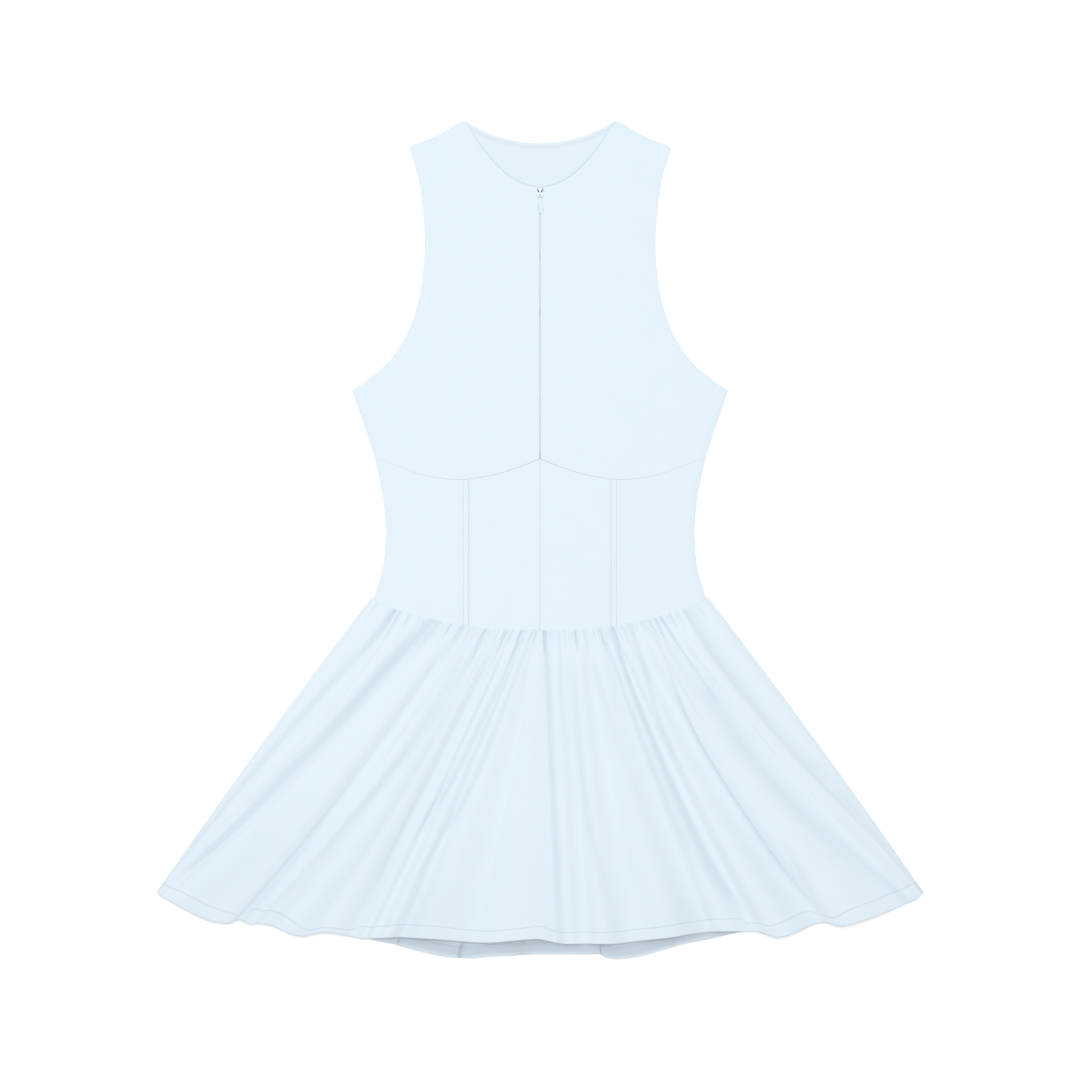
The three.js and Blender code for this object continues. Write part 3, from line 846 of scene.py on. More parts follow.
@dataclass
class Body:
    """Body of the dress: the back in one piece, two bust fronts and four waist panels."""

    cloth: float = 1.2
    ply_gap: float = 0.3
    crown: float = 2.2
    shoulder_ease: float = 45.0
    neck_point: Point = (74.5, 419.0)
    shoulder_tip: Point = (131.0, 392.0)
    underarm: Point = (188.0, 150.0)
    shoulder: tuple[Point, ...] = (
        (74.5, 419), (82, 417), (96.5, 408), (110, 401.6), (125.5, 396), (131, 392),
    )
    armhole: tuple[Point, ...] = (
        (188, 150), (173.3, 159.6), (149.6, 180.5), (131, 211), (120, 246), (115.5, 286), (116.4, 322),
        (121.4, 360), (131, 392),
    )
    side_upper: tuple[Point, ...] = ((165.4, 81.9), (176.5, 116), (188, 150))
    side_lower: tuple[Point, ...] = ((166.3, -59), (156.8, -26), (154.3, 8), (157.6, 44), (165.4, 81.9))
    underbust: tuple[Point, ...] = (
        (0, 81.2), (22, 72.4), (50, 64.4), (82, 60.4), (113, 64), (140, 73.1), (165.4, 81.9),
    )
    waist_seam: tuple[Point, ...] = (
        (0, -90.5), (45, -89.5), (85, -84.5), (122, -76), (148, -68.5), (166.3, -59),
    )
    back_neck_y: float = 397.0
    front_neck_y: float = 353.0
    neck_curve: float = 2.05
    princess_x: float = 76.7
    topstitch_x: float = 71.2
    zip_open: float = 0.6
    zip_gapes: tuple[Point, ...] = ((283.0, 0.25), (228.0, 0.4), (84.0, 0.45))
    notch_half: float = 3.4
    notch_deep: float = 9.0
    notch_curve: float = 1.4
    zip_gape_long: float = 5.0
    meet: float = 0.015
    front_thick: float = 0.9
    back_thick: float = 1.2
    seam_dip: float = 0.2
    seam_wide: float = 0.9
    cross_wide: float = 1.0
    waist_dip: float = 0.12
    topstitch_wide: float = 0.8
    edge_dip: float = 0.75
    edge_wide: float = 3.5
    sides_meet_y: float = 160.0
    sides_meet_over: float = 20.0
    wave: float = 0.5
    neck_stitch: float = 3.5
    neck_stitch_gap: float = 1.5
    neck_band: float = 0.3
    underbust_share: float = 6 / 9
    back_cells: int = 9
    neck_cells: int = 5

    def __post_init__(self) -> None:
        """Makes the curves and columns of the tables."""
        self.shoulder_at = Curve(self.shoulder)
        self.armhole_at = Curve(self.armhole)
        self.side_upper_at = Curve(self.side_upper)
        self.side_lower_at = Curve(self.side_lower)
        self.underbust_y = Column(self.underbust)
        self.waist_seam_y = Column(self.waist_seam)
        outline = self.side_lower + self.side_upper[1:] + self.armhole[1:]
        self.half_width = Column([(y, x) for x, y in outline])
        self.side_x = Column([(y, x) for x, y in self.side_lower])
        self.shoulder_y = Column([(0, self.neck_point[1]), *self.shoulder])

    def neck_y(self, bottom: float, x: float) -> float:
        """Height of a neckline at x, which has its lowest point at bottom."""
        return bottom + (self.neck_point[1] - bottom) * (abs(x) / self.neck_point[0]) ** self.neck_curve

    def front_level(self, x: float, y: float) -> float:
        """Upper face of the front as a plain crowned form.

        Args:
            x: Place across the dress.
            y: Place up the dress.

        Returns:
            Height off the table.
        """
        across = clamp(abs(x) / self.half_width(y))
        ease = smooth((self.shoulder_y(abs(x)) - y) / self.shoulder_ease)
        return 2 * self.cloth + self.ply_gap + self.crown * (1 - across**2) ** 0.8 * ease

    def front_height(self, x: float, y: float) -> float:
        """Upper face of the front with its seams drawn in and the cloth a little uneven.

        Args:
            x: Place across the dress.
            y: Place up the dress.

        Returns:
            Height off the table.
        """
        far = abs(x)
        across = clamp(far / self.half_width(y))
        above = y - self.underbust_y(far)
        over_seam = y - self.waist_seam_y(far)
        z = self.front_level(x, y)
        z -= 0.7 * self.seam_dip * dip(above, self.cross_wide)
        z -= self.waist_dip * dip(over_seam, self.cross_wide)
        if above < 0:
            z -= self.seam_dip * (dip(far - self.princess_x, self.seam_wide) + dip(far, self.seam_wide))
            z -= self.waist_dip * dip(far - self.topstitch_x, self.topstitch_wide)
        else:
            z -= self.seam_dip * dip(far - self.zip_open / 2, self.seam_wide)
        joined = smooth((self.sides_meet_y - y) / self.sides_meet_over)
        z -= self.edge_dip * joined * dip(self.half_width(y) - far, self.edge_wide)
        if far > self.neck_point[0]:
            z -= self.edge_dip * dip(self.shoulder_y(far) - y, self.edge_wide)
        uneven = self.wave * (1 - across**4)
        z += uneven * (ripple(x, y, 75) + 0.35 * ripple(x, y, 27, 5.0))
        z -= 0.35 * dip(over_seam, 9) * dip(x + 5, 9) * (1 if above < 0 else 0)
        z += 0.25 * dip(over_seam - 3, 3) * ripple(x * 6, y * 0.5, 24, 9.0)
        return z

    def front_point(self, panel: Panel, side: int) -> Callable[[float, float], Vector]:
        """Lays a panel on the front.

        Args:
            panel: The panel, as it is on the right.
            side: -1 for the left or 1 for the right.

        Returns:
            Function that gives its points.
        """

        def place(s: float, t: float) -> Vector:
            """Point at a share across and a share up."""
            x, y = panel.at(s, t)
            return Vector((side * x, y, self.front_height(side * x, y)))

        return place

    def bust_panel(self) -> Panel:
        """Right bust front, from the underbust seam to the shoulder.

        Returns:
            The panel. Its inner edge runs up the zip, round the slider and along the neckline, and its outer
            edge up the side seam and round the armhole.
        """
        notch_y = self.front_neck_y - self.notch_deep
        side_x = self.underbust[-1][0]

        def open_x(y: float) -> float:
            """Half the gap between the fronts at a height."""
            gape = sum(0.18 * dip(y - at, self.zip_gape_long) * wide / 0.4 for at, wide in self.zip_gapes)
            return self.zip_open / 2 * 0.6 + gape + 0.06 * ripple(0, y, 9.0)

        def bottom(t: float) -> Point:
            """Point along the underbust seam, half way at the princess seam."""
            ends = (open_x(self.underbust_y(0)), self.princess_x, side_x)
            x = mix(*ends[:2], 2 * t) if t < 0.5 else mix(*ends[1:], 2 * t - 1)
            return x, self.underbust_y(x) + self.meet

        def zip_edge(t: float) -> Point:
            """Point up the zip."""
            y = mix(self.underbust_y(0) + self.meet, notch_y, t)
            return open_x(y), y

        def notch(t: float) -> Point:
            """Point up the curve beside the slider."""
            x = mix(open_x(notch_y), self.notch_half, t**self.notch_curve)
            return x, mix(notch_y, self.neck_y(self.front_neck_y, x), t)

        def neckline(t: float) -> Point:
            """Point up the neckline."""
            x = mix(self.notch_half, self.neck_point[0], t)
            return x, self.neck_y(self.front_neck_y, x)

        inner = two_edges(two_edges(zip_edge, notch, 10 / 11), neckline, 11 / 18)
        outer = two_edges(self.side_upper_at, self.armhole_at, 4 / 18)
        return Panel(bottom, self.shoulder_at, inner, outer)

    def waist_panel(self, middle: bool) -> Panel:
        """Right waist panel, between the two cross seams.

        Args:
            middle: Whether it is the one beside the middle of the dress.

        Returns:
            The panel.
        """
        meet = self.meet

        def inner_x(y: float) -> float:
            """Place of the inner edge at a height."""
            return meet if middle else self.princess_x + meet

        def outer_x(y: float) -> float:
            """Place of the outer edge at a height."""
            return self.princess_x - meet if middle else self.side_x(y)

        def along(seam: Column, offset: float, end: float) -> Edge:
            """Edge that follows a cross seam.

            Args:
                seam: The seam.
                offset: How far the edge lies above it.
                end: Height at which the sides are taken.

            Returns:
                The edge.
            """

            def edge(t: float) -> Point:
                """Point at a share outwards."""
                x = mix(inner_x(end), outer_x(end), t)
                return x, seam(x) + offset

            return edge

        bottom = along(self.waist_seam_y, meet, self.waist_seam[-1][1] + meet)
        top = along(self.underbust_y, -meet, self.underbust[-1][1] - meet)

        def upright(edge_x: Callable[[float], float], end: float) -> Edge:
            """Edge up one side.

            Args:
                edge_x: Its place across at a height.
                end: Its share along the bottom and the top.

            Returns:
                The edge.
            """

            def edge(t: float) -> Point:
                """Point at a share upwards."""
                y = mix(bottom(end)[1], top(end)[1], t)
                return edge_x(y), y

            return edge

        return Panel(bottom, top, upright(inner_x, 0), upright(outer_x, 1))

    def back_top(self, x: float) -> float:
        """Upper end of the back at x: its neckline, then its shoulder."""
        return self.neck_y(self.back_neck_y, x) if x < self.neck_point[0] else self.shoulder_y(x)

    def back_point(self, s: float, t: float) -> Vector:
        """Point on the upper face of the back.

        Args:
            s: Share from the left side to the right one.
            t: Share up the side seams, then 1 and a share round the armholes.

        Returns:
            The point.
        """
        even = 2 * s - 1
        waist, arm, tip = self.side_lower[0], self.underarm, self.shoulder_tip
        if t <= 1:
            edge = two_edges(self.side_lower_at, self.side_upper_at, self.underbust_share)(t)
            base = self.waist_seam_y(abs(even) * waist[0])
            x = even * edge[0]
            y = mix(base, arm[1], t) + (edge[1] - mix(waist[1], arm[1], t)) * even**2
            return Vector((x, y, self.back_height(x, y)))
        rise = t - 1
        edge = self.armhole_at(rise)
        far, neck_share = abs(even) * self.back_cells, self.neck_point[0] / tip[0]
        cells, beyond = self.neck_cells, self.back_cells - self.neck_cells
        inside = far / cells * neck_share if far < cells else mix(neck_share, 1, (far - cells) / beyond)
        share = mix(abs(even), inside, rise)
        top = self.back_top(share * tip[0])
        y = mix(arm[1], top, rise) + (edge[1] - mix(arm[1], tip[1], rise)) * share**2
        x = math.copysign(share * edge[0], even)
        return Vector((x, y, self.back_height(x, y)))

    def back_height(self, x: float, y: float) -> float:
        """Upper face of the back, with the turned band of its neckline.

        Args:
            x: Place across the dress.
            y: Place up the dress.

        Returns:
            Height off the table.
        """
        band = self.neck_distance(x, y)
        over_neck = abs(x) < self.neck_point[0] - 1
        raised = self.neck_band * smooth((self.neck_stitch - band) / 1.2) if over_neck else 0.0
        return self.back_thick + raised * smooth((self.neck_point[0] - abs(x)) / 6)

    def neck_distance(self, x: float, y: float) -> float:
        """Distance below the back's neckline, square to it.

        Args:
            x: Place across the dress.
            y: Place up the dress.

        Returns:
            The distance.
        """
        far = min(abs(x), self.neck_point[0])
        before, here, after = (self.neck_y(self.back_neck_y, far + off) for off in (-0.5, 0.0, 0.5))
        return (here - y) / math.hypot(1, after - before)

    def build(self, wardrobe: Wardrobe) -> None:
        """Makes the body's pieces and dresses them.

        Args:
            wardrobe: The finishes.
        """
        self._build_back(wardrobe)
        for name, side in (("left", -1), ("right", 1)):
            self._build_front(wardrobe, name, side)

    def _build_back(self, wardrobe: Wardrobe) -> None:
        """Makes the back and the stitching of its neckline.

        Args:
            wardrobe: The finishes.
        """
        even = [i / 110 for i in range(111)]
        sides = [0.002, 0.005, 0.995, 0.998]
        lower = spaced(210, 4.2, True, False)
        upper = [1 + t for t in spaced(240, 3.4, False, True)[1:]]

        def stitch(s: float, t: float) -> float:
            """Distance from the first row of stitches."""
            point = self.back_point(s, t)
            return self.neck_distance(point.x, point.y) - self.neck_stitch if t > 1 else FAR

        def grain(s: float, t: float) -> Point:
            """Place on the cut cloth, which lies flat."""
            return tuple(self.back_point(s, t).xy)

        sheet = Sheet(
            "cloth_body_back",
            sorted(even + sides),
            lower + upper,
            self.back_point,
            grain,
            stitch,
            thickness=self.back_thick,
            rim=0.35,
        )
        piece = sheet.build()
        wardrobe.dress(piece, Finish.INSIDE)
        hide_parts("body_back")
        lines = []
        neck_x, neck_end_y = self.neck_point
        for below in (self.neck_stitch, self.neck_stitch + self.neck_stitch_gap):
            line = []
            for i in range(161):
                x = mix(-70, 70, i / 160)
                slope = 2 * (neck_end_y - self.back_neck_y) * abs(x) / neck_x**2
                y = self.neck_y(self.back_neck_y, x) - below * math.hypot(1, slope)
                line.append((Vector((x, y, self.back_height(x, y))), Vector((0, 0, 1))))
            lines.append(line)
        sewn = Stitches(long=1.9, gap=0.8, thick=0.22).run("stitches_back_neck", lines)
        wardrobe.dress(sewn, Finish.THREAD, Finish.INSIDE)

    def _build_front(self, wardrobe: Wardrobe, name: str, side: int) -> None:
        """Makes one half of the front: bust, waist middle and waist side, with the topstitching.

        Args:
            wardrobe: The finishes.
            name: left or right.
            side: -1 or 1.
        """
        panels = {
            "bust_front": (self.bust_panel(), spaced(170, 2.9), spaced(350, 3.2)),
            "waist_middle": (self.waist_panel(True), spaced(76, 2.2), spaced(150, 3.2)),
            "waist_side": (self.waist_panel(False), spaced(85, 2.6), spaced(140, 3.2)),
        }
        pieces = {}
        for part, (panel, across, up) in panels.items():
            place = self.front_point(panel, side)

            def stitch(s: float, t: float, panel: Panel = panel, part: str = part) -> float:
                """Distance from the row of stitches beside the princess seam."""
                return panel.at(s, t)[0] - self.topstitch_x if part == "waist_middle" else FAR

            def grain(s: float, t: float, panel: Panel = panel) -> Point:
                """Place on the cut cloth."""
                x, y = panel.at(s, t)
                return side * x, y

            title = f"cloth_{part}_{name}"
            piece = Sheet(title, across, up, place, grain, stitch, thickness=self.front_thick).build()
            wardrobe.dress(piece, Finish.KNIT)
            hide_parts(f"{part}_{name}")
            pieces[part] = piece
        x = side * self.topstitch_x
        line = []
        for i in range(146):
            y = mix(self.waist_seam_y(abs(x)) + 1.2, self.underbust_y(abs(x)) - 0.8, i / 145)
            line.append((Vector((x, y, self.front_height(x, y))), Vector((0, 0, 1))))
        sewn = Stitches(thick=0.25).run(f"stitches_princess_{name}", [line])
        wardrobe.dress(sewn, Finish.THREAD, Finish.KNIT)
        for part, piece in pieces.items():
            on, carries = ["cloth_body_back"], [sewn] if part == "waist_middle" else []


# ---- Skirt


@dataclass(frozen=True)
class Crease:
    """Valley between two folds of the skirt, and the ridge on its right side.

    seam and hem are its places on the waist seam and on the hem, bow how far it swings to the right half
    way down, rise the ridge's height as a share of its width, peak the place of its top across it and
    sharp how steep the valley is. over is how far the left ridge rolls over the valley, or the right one
    where it is negative.
    """

    seam: float
    hem: float
    bow: float
    rise: float
    peak: float
    sharp: float
    over: float


FRONT_CREASES = (
    Crease(-169, -383.5, -3, 0.10, 0.50, 0.0, 0),
    Crease(-150, -381, 8, 0.12, 0.50, 0.0, 0),
    Crease(-109, -372, 20, 0.07, 0.60, 0.0, 0),
    Crease(-80, -301, 12, 0.09, 0.58, 0.0, 0),
    Crease(-60, -262, 13, 0.085, 0.58, 0.0, 0),
    Crease(-36, -189, 2, 0.12, 0.58, 0.0, 0),
    Crease(-24, -168, 1, 0.14, 0.60, 0.0, 0),
    Crease(-11, -138, 1, 0.09, 0.45, 0.0, 0),
    Crease(-2, -66, 2, 0.08, 0.38, 0.0, 0),
    Crease(4, 17, 0, 0.10, 0.38, 0.1, 0),
    Crease(29, 47, 0, 0.10, 0.45, 0.0, 0),
    Crease(46, 98, -3, 0.09, 0.50, 0.0, 0),
    Crease(62, 170, -4, 0.12, 0.40, 0.0, 0),
    Crease(71, 216, -5, 0.12, 0.38, 0.0, 0),
    Crease(91, 279, -12, 0.10, 0.40, 0.0, 0),
    Crease(121, 362, -17, 0.12, 0.45, 0.0, 0),
    Crease(148, 381, -6, 0.10, 0.50, 0.0, 0),
    Crease(169, 383.5, 3, 0.00, 0.50, 0.0, 0),
)

FRONT_HEM = (
    (-383.5, -353), (-375, -359), (-311, -383), (-302, -379.5), (-289, -384.3), (-281, -383), (-238, -396),
    (-218, -391.3), (-172, -398.5), (-149, -397), (-112, -398), (-60, -402.3), (-4, -398.6), (24, -403.6),
    (70, -403.4), (112, -399.2), (158, -393), (190, -390.8), (215, -391.2), (237, -396.3), (277, -383.5),
    (284, -382), (300, -385.4), (313, -382.4), (376, -359), (383.5, -353),
)

BACK_HEM = (
    (-383.5, -353), (-376, -357), (-300, -377), (-230, -387), (-174, -398.4), (-121, -410), (-84, -418),
    (-66, -418.5), (-50, -416.5), (-21, -415.3), (27, -414.5), (57, -414), (66, -418), (74, -419),
    (94, -416.8), (127, -408.4), (158, -400.7), (216, -389.5), (300, -377), (376, -357), (383.5, -353),
)

# Distance of the front hem's stitching from its edge, by the place along the hem.
HEM_STITCH = (
    (-383.5, 8.5), (-340, 10), (-315, 9), (-303, 5), (-294, 13.2), (-262, 10.5), (-216, 4), (-192, 5),
    (-186, 10.4), (-160, 11.7), (-119, 12.3), (-79, 11.3), (-20, 11.2), (0, 12.4), (16, 11), (60, 11.2),
    (142, 10.9), (182, 11.7), (206.7, 12.3), (212, 7.5), (226.6, 10), (260, 12.3), (276.5, 11.8), (288, 7),
    (327.6, 11.6), (379, 10.5), (383.5, 9),
)


@dataclass(frozen=True)
class Band:
    """Fold: a groove with painted shade where the cloth turns away from the light.

    path has the share down and the place on the waist seam that the fold comes from there. left and right are
    its soft widths to each side, counted on the waist seam, depth is the groove's depth, then the strength of
    its painted shade.
    """

    path: tuple[Point, ...]
    left: float
    right: float
    depth: float
    tone: float
    fade: float = 0.12


# Folds of the front ply, listed: each a groove with the painted shade that darkens it.
FRONT_BANDS = (
    Band(((0.0, -144), (0.13, -147.6), (0.29, -153), (0.48, -157.7), (0.73, -162), (0.93, -166.5)),
         3.2, 3.2, 1.1, 0.62),
    Band(((0.0, -144.5), (0.04, -145), (0.2, -148.5)), 1.5, 1.3, 0.8, 0.9, 0.1),
    Band(((0.0, -139), (0.16, -137), (0.29, -136.8), (0.48, -140.8), (0.69, -146.5), (0.81, -152),
          (0.95, -164.5)), 0.7, 0.7, 0.35, 0.3),
    Band(((0.0, -139), (0.11, -137.5)), 1.1, 1.1, 0.8, 0.6, 0.06),
    Band(((0.0, -107), (0.13, -113.8), (0.24, -119.4), (0.4, -123.5), (0.56, -127.4), (0.73, -130.5),
          (0.95, -141)), 7.5, 8, 1.2, 0.8),
    Band(((0.45, -127), (0.6, -127.5), (0.75, -128), (0.93, -134)), 8, 3, 0.6, 0.6),
    Band(((0.62, -129), (0.78, -131), (0.88, -140), (0.94, -152), (0.98, -163)), 6, 5, 0.5, 0.42, 0.14),
    Band(((0.0, -107.5), (0.2, -115)), 1.8, 1.8, 0.8, 0.6, 0.12),
    Band(((0.0, -100), (0.12, -104)), 2.5, 2.5, 0.5, 0.3, 0.08),
    Band(((0.5, -97), (1.0, -96)), 8, 6, 0.3, 0.3, 0.3),
    Band(((0.0, -76), (0.1, -78.9), (0.19, -83.2), (0.32, -85.2), (0.48, -85.6), (0.65, -82.2),
          (0.77, -79.3), (1.0, -77.7)), 4, 4, 0.25, 0.3),
    Band(((0.45, -81.3), (0.65, -80), (0.77, -78.6), (1.0, -77.2)), 3.0, 0.8, 0.3, 0.5, 0.3),
    Band(((0.0, -76), (0.12, -79)), 1.3, 1.3, 0.8, 0.5, 0.08),
    Band(((0.0, -53.4), (0.13, -56.3), (0.32, -58.6), (0.53, -63), (0.73, -66.5), (1.0, -70.5)),
         3, 3, 1.0, 0.5),
    Band(((0.0, -53.6), (0.13, -54.2)), 1.0, 1.0, 0.8, 0.7, 0.06),
    Band(((0.0, -67), (0.3, -73), (0.5, -75)), 1.2, 2.5, 0.4, 0.22),
    Band(((0.0, -45.5), (0.28, -46.5)), 1.2, 1.2, 0.5, 0.35, 0.14),
    Band(((0.1, -50), (0.5, -50.5), (1.0, -52.5)), 4.5, 4.5, 0.6, 0.4, 0.3),
    Band(((0.0, -32), (0.1, -34), (0.24, -36.5), (0.44, -36.5), (0.56, -37.5), (0.69, -37.6), (0.81, -36.4),
          (1.0, -33.5)), 3, 3.6, 0.25, 0.24),
    Band(((0.42, -38.2), (0.56, -38.3), (0.72, -37.6), (0.85, -36), (0.97, -34.2)),
         0.9, 2.4, 0.25, 0.4, 0.2),
    Band(((0.0, -32.4), (0.1, -33.5)), 1.1, 1.1, 0.8, 0.6, 0.05),
    Band(((0.0, -16.2), (0.13, -15.8), (0.24, -17.6), (0.4, -19.8), (0.53, -22.5), (0.65, -25.9),
          (0.82, -30.5)), 2.6, 2.6, 1.2, 0.62, 0.3),
    Band(((0.0, -16.2), (0.17, -15.7)), 1.1, 1.1, 0.9, 0.8, 0.08),
    Band(((0.0, -7.2), (0.24, -7.9), (0.4, -8.4), (0.56, -9.8), (0.69, -12), (0.88, -15)),
         1.6, 0.7, 0.6, 0.55, 0.16),
    Band(((0.72, -10), (1.0, -11)), 5, 5, 0.4, 0.35, 0.2),
    Band(((0.0, 4.2), (0.4, 4.4), (1.0, 4.6)), 0.6, 2.9, 0.9, 0.85, 0.05),
    Band(((0.04, 19), (0.15, 19), (0.34, 17.5)), 2, 2, 0.6, 0.35, 0.12),
    Band(((0.06, 26), (0.16, 29), (0.4, 30.4), (0.61, 33.8), (0.81, 38.3), (1.0, 41)), 2.4, 2.8, 0.7, 0.42),
    Band(((0.0, 35.5), (0.09, 37.5)), 1.2, 1.2, 0.8, 0.6, 0.05),
    Band(((0.04, 45), (0.3, 52.5), (0.56, 56), (1.0, 59)), 2.5, 2.5, 0.45, 0.28),
    Band(((0.78, 56), (1.0, 58)), 5, 6, 0.3, 0.35, 0.2),
    Band(((0.0, 60), (0.1, 62), (0.24, 62.6), (0.48, 63.5), (0.85, 64.5)), 1.6, 1.6, 0.7, 0.45, 0.14),
    Band(((0.0, 72), (0.13, 69.3), (0.32, 68.3), (0.56, 68.3), (0.77, 68.7), (0.97, 71)),
         2.4, 0.7, 1.1, 0.95, 0.12),
    Band(((0.0, 72), (0.12, 69.4)), 1.0, 1.0, 0.9, 0.6, 0.05),
    Band(((0.0, 88.5), (0.15, 85.6), (0.21, 81), (0.29, 76.6), (0.5, 72.5)), 2.4, 2.4, 0.9, 0.45, 0.14),
    Band(((0.55, 86), (1.0, 87)), 4, 4, 0.3, 0.3, 0.2),
    Band(((0.08, 106), (0.21, 100), (0.31, 95.8), (0.45, 93.5), (0.65, 93), (0.81, 92.4), (0.98, 94)),
         2.0, 0.7, 1.1, 0.9, 0.2),
    Band(((0.7, 102), (0.84, 98), (0.96, 95.5)), 0.8, 1.4, 0.5, 0.45, 0.1),
    Band(((0.0, 108), (0.13, 104.8), (0.42, 102.5)), 1.2, 2.0, 0.5, 0.3, 0.14),
    Band(((0.0, 108), (0.08, 109)), 1.0, 1.0, 0.7, 0.5, 0.04),
    Band(((0.0, 115), (0.09, 113)), 1.0, 1.0, 0.7, 0.5, 0.04),
    Band(((0.0, 120.2), (0.19, 121), (0.4, 119.5)), 1.2, 0.9, 0.8, 0.9, 0.16),
    Band(((0.14, 121), (0.32, 118.5), (0.52, 116.8), (0.65, 117.5), (0.81, 121), (1.0, 126)),
         5.5, 5, 1.2, 0.62, 0.16),
    Band(((0.06, 127), (0.16, 128.4), (0.32, 130.7), (0.48, 131.8), (0.65, 132.9), (0.77, 136.3),
          (0.92, 142)), 0.7, 0.7, 0.35, 0.34),
    Band(((0.0, 143.5), (0.1, 141.5), (0.19, 140.6), (0.32, 141.5), (0.48, 143), (0.61, 145.3), (0.77, 151),
          (1.0, 158)), 1.6, 8, 0.6, 0.6),
    Band(((0.45, 150), (0.7, 158), (0.95, 164)), 5, 6, 0.6, 0.35),
)

# Small sharp folds under the front's waist seam: place on the seam, how far each swings to the right on its
# way, the share down at which it ends, and its painted shade.
FRONT_TUCKS = (
    (-161.2, 0.5, 0.06, 0.25), (-144.0, -0.9, 0.09, 0.5), (-138.8, 1.6, 0.06, 0.85),
    (-130.9, 2.8, 0.045, 0.45), (-127.2, 0.4, 0.06, 0.25), (-108.1, -1.0, 0.08, 0.5),
    (-99.6, 0.1, 0.08, 0.45), (-87.9, -0.6, 0.045, 0.42), (-79.0, 1.2, 0.06, 0.5), (-74.6, -0.6, 0.07, 0.3),
    (-68.5, -0.8, 0.06, 0.3), (-62.8, 0.0, 0.04, 0.25), (-54.5, 0.6, 0.1, 0.8), (-49.7, 0.0, 0.05, 0.25),
    (-41.0, 1.9, 0.06, 0.3), (-34.3, 2.0, 0.08, 1.0), (-26.6, 2.0, 0.06, 0.42), (-17.8, 1.6, 0.11, 0.95),
    (-12.8, 1.2, 0.06, 0.32), (-6.9, 0.0, 0.045, 0.6), (-3.5, -0.1, 0.055, 0.85), (3.5, 0.4, 0.09, 0.8),
    (10.5, 1.4, 0.04, 0.22), (18.4, 1.2, 0.06, 0.28), (24.3, 0.4, 0.06, 0.38), (31.0, 1.3, 0.045, 0.38),
    (34.9, 0.7, 0.08, 0.75), (43.9, 2.0, 0.08, 0.5), (52.7, 0.5, 0.04, 0.28), (59.6, 1.5, 0.09, 0.6),
    (63.7, 0.5, 0.05, 0.22), (68.2, 0.0, 0.05, 0.28), (71.8, 0.5, 0.07, 1.0), (75.6, 0.3, 0.045, 0.38),
    (81.6, 1.6, 0.07, 0.32), (88.7, -0.7, 0.08, 0.52), (92.1, 0.0, 0.03, 0.3), (100.5, 0.2, 0.045, 0.65),
    (105.2, -0.8, 0.06, 0.28), (108.6, 0.0, 0.08, 0.45), (114.7, -0.8, 0.08, 0.52), (120.5, 0.2, 0.11, 0.7),
    (128.9, 0.2, 0.055, 0.75), (136.1, -0.9, 0.06, 0.38), (143.6, 0.2, 0.07, 0.5), (149.2, 0.0, 0.03, 0.22),
    (156.9, 0.4, 0.06, 0.3),
)

# Folds of the back ply: grooves with painted shade.
BACK_BANDS = (
    Band(((0.0, -128), (0.5, -131), (1.0, -133)), 4, 4, 0.8, 0.5),
    Band(((0.0, -90), (0.4, -94), (1.0, -92)), 3, 4, 0.8, 0.5),
    Band(((0.0, -50), (0.5, -47), (1.0, -44)), 3, 3, 0.7, 0.45),
    Band(((0.0, 24), (0.6, 28), (1.0, 30)), 3, 3, 0.7, 0.4),
    Band(((0.0, 78), (0.4, 82), (1.0, 84)), 4, 3, 0.8, 0.5),
    Band(((0.0, 118), (0.5, 124), (1.0, 129)), 4, 4, 0.8, 0.5),
)


@dataclass
class Strand:
    """One line down the skirt: what is the same at every height of it."""

    u: float
    top: Point
    foot: Point
    bow: float
    length: float
    reach: float


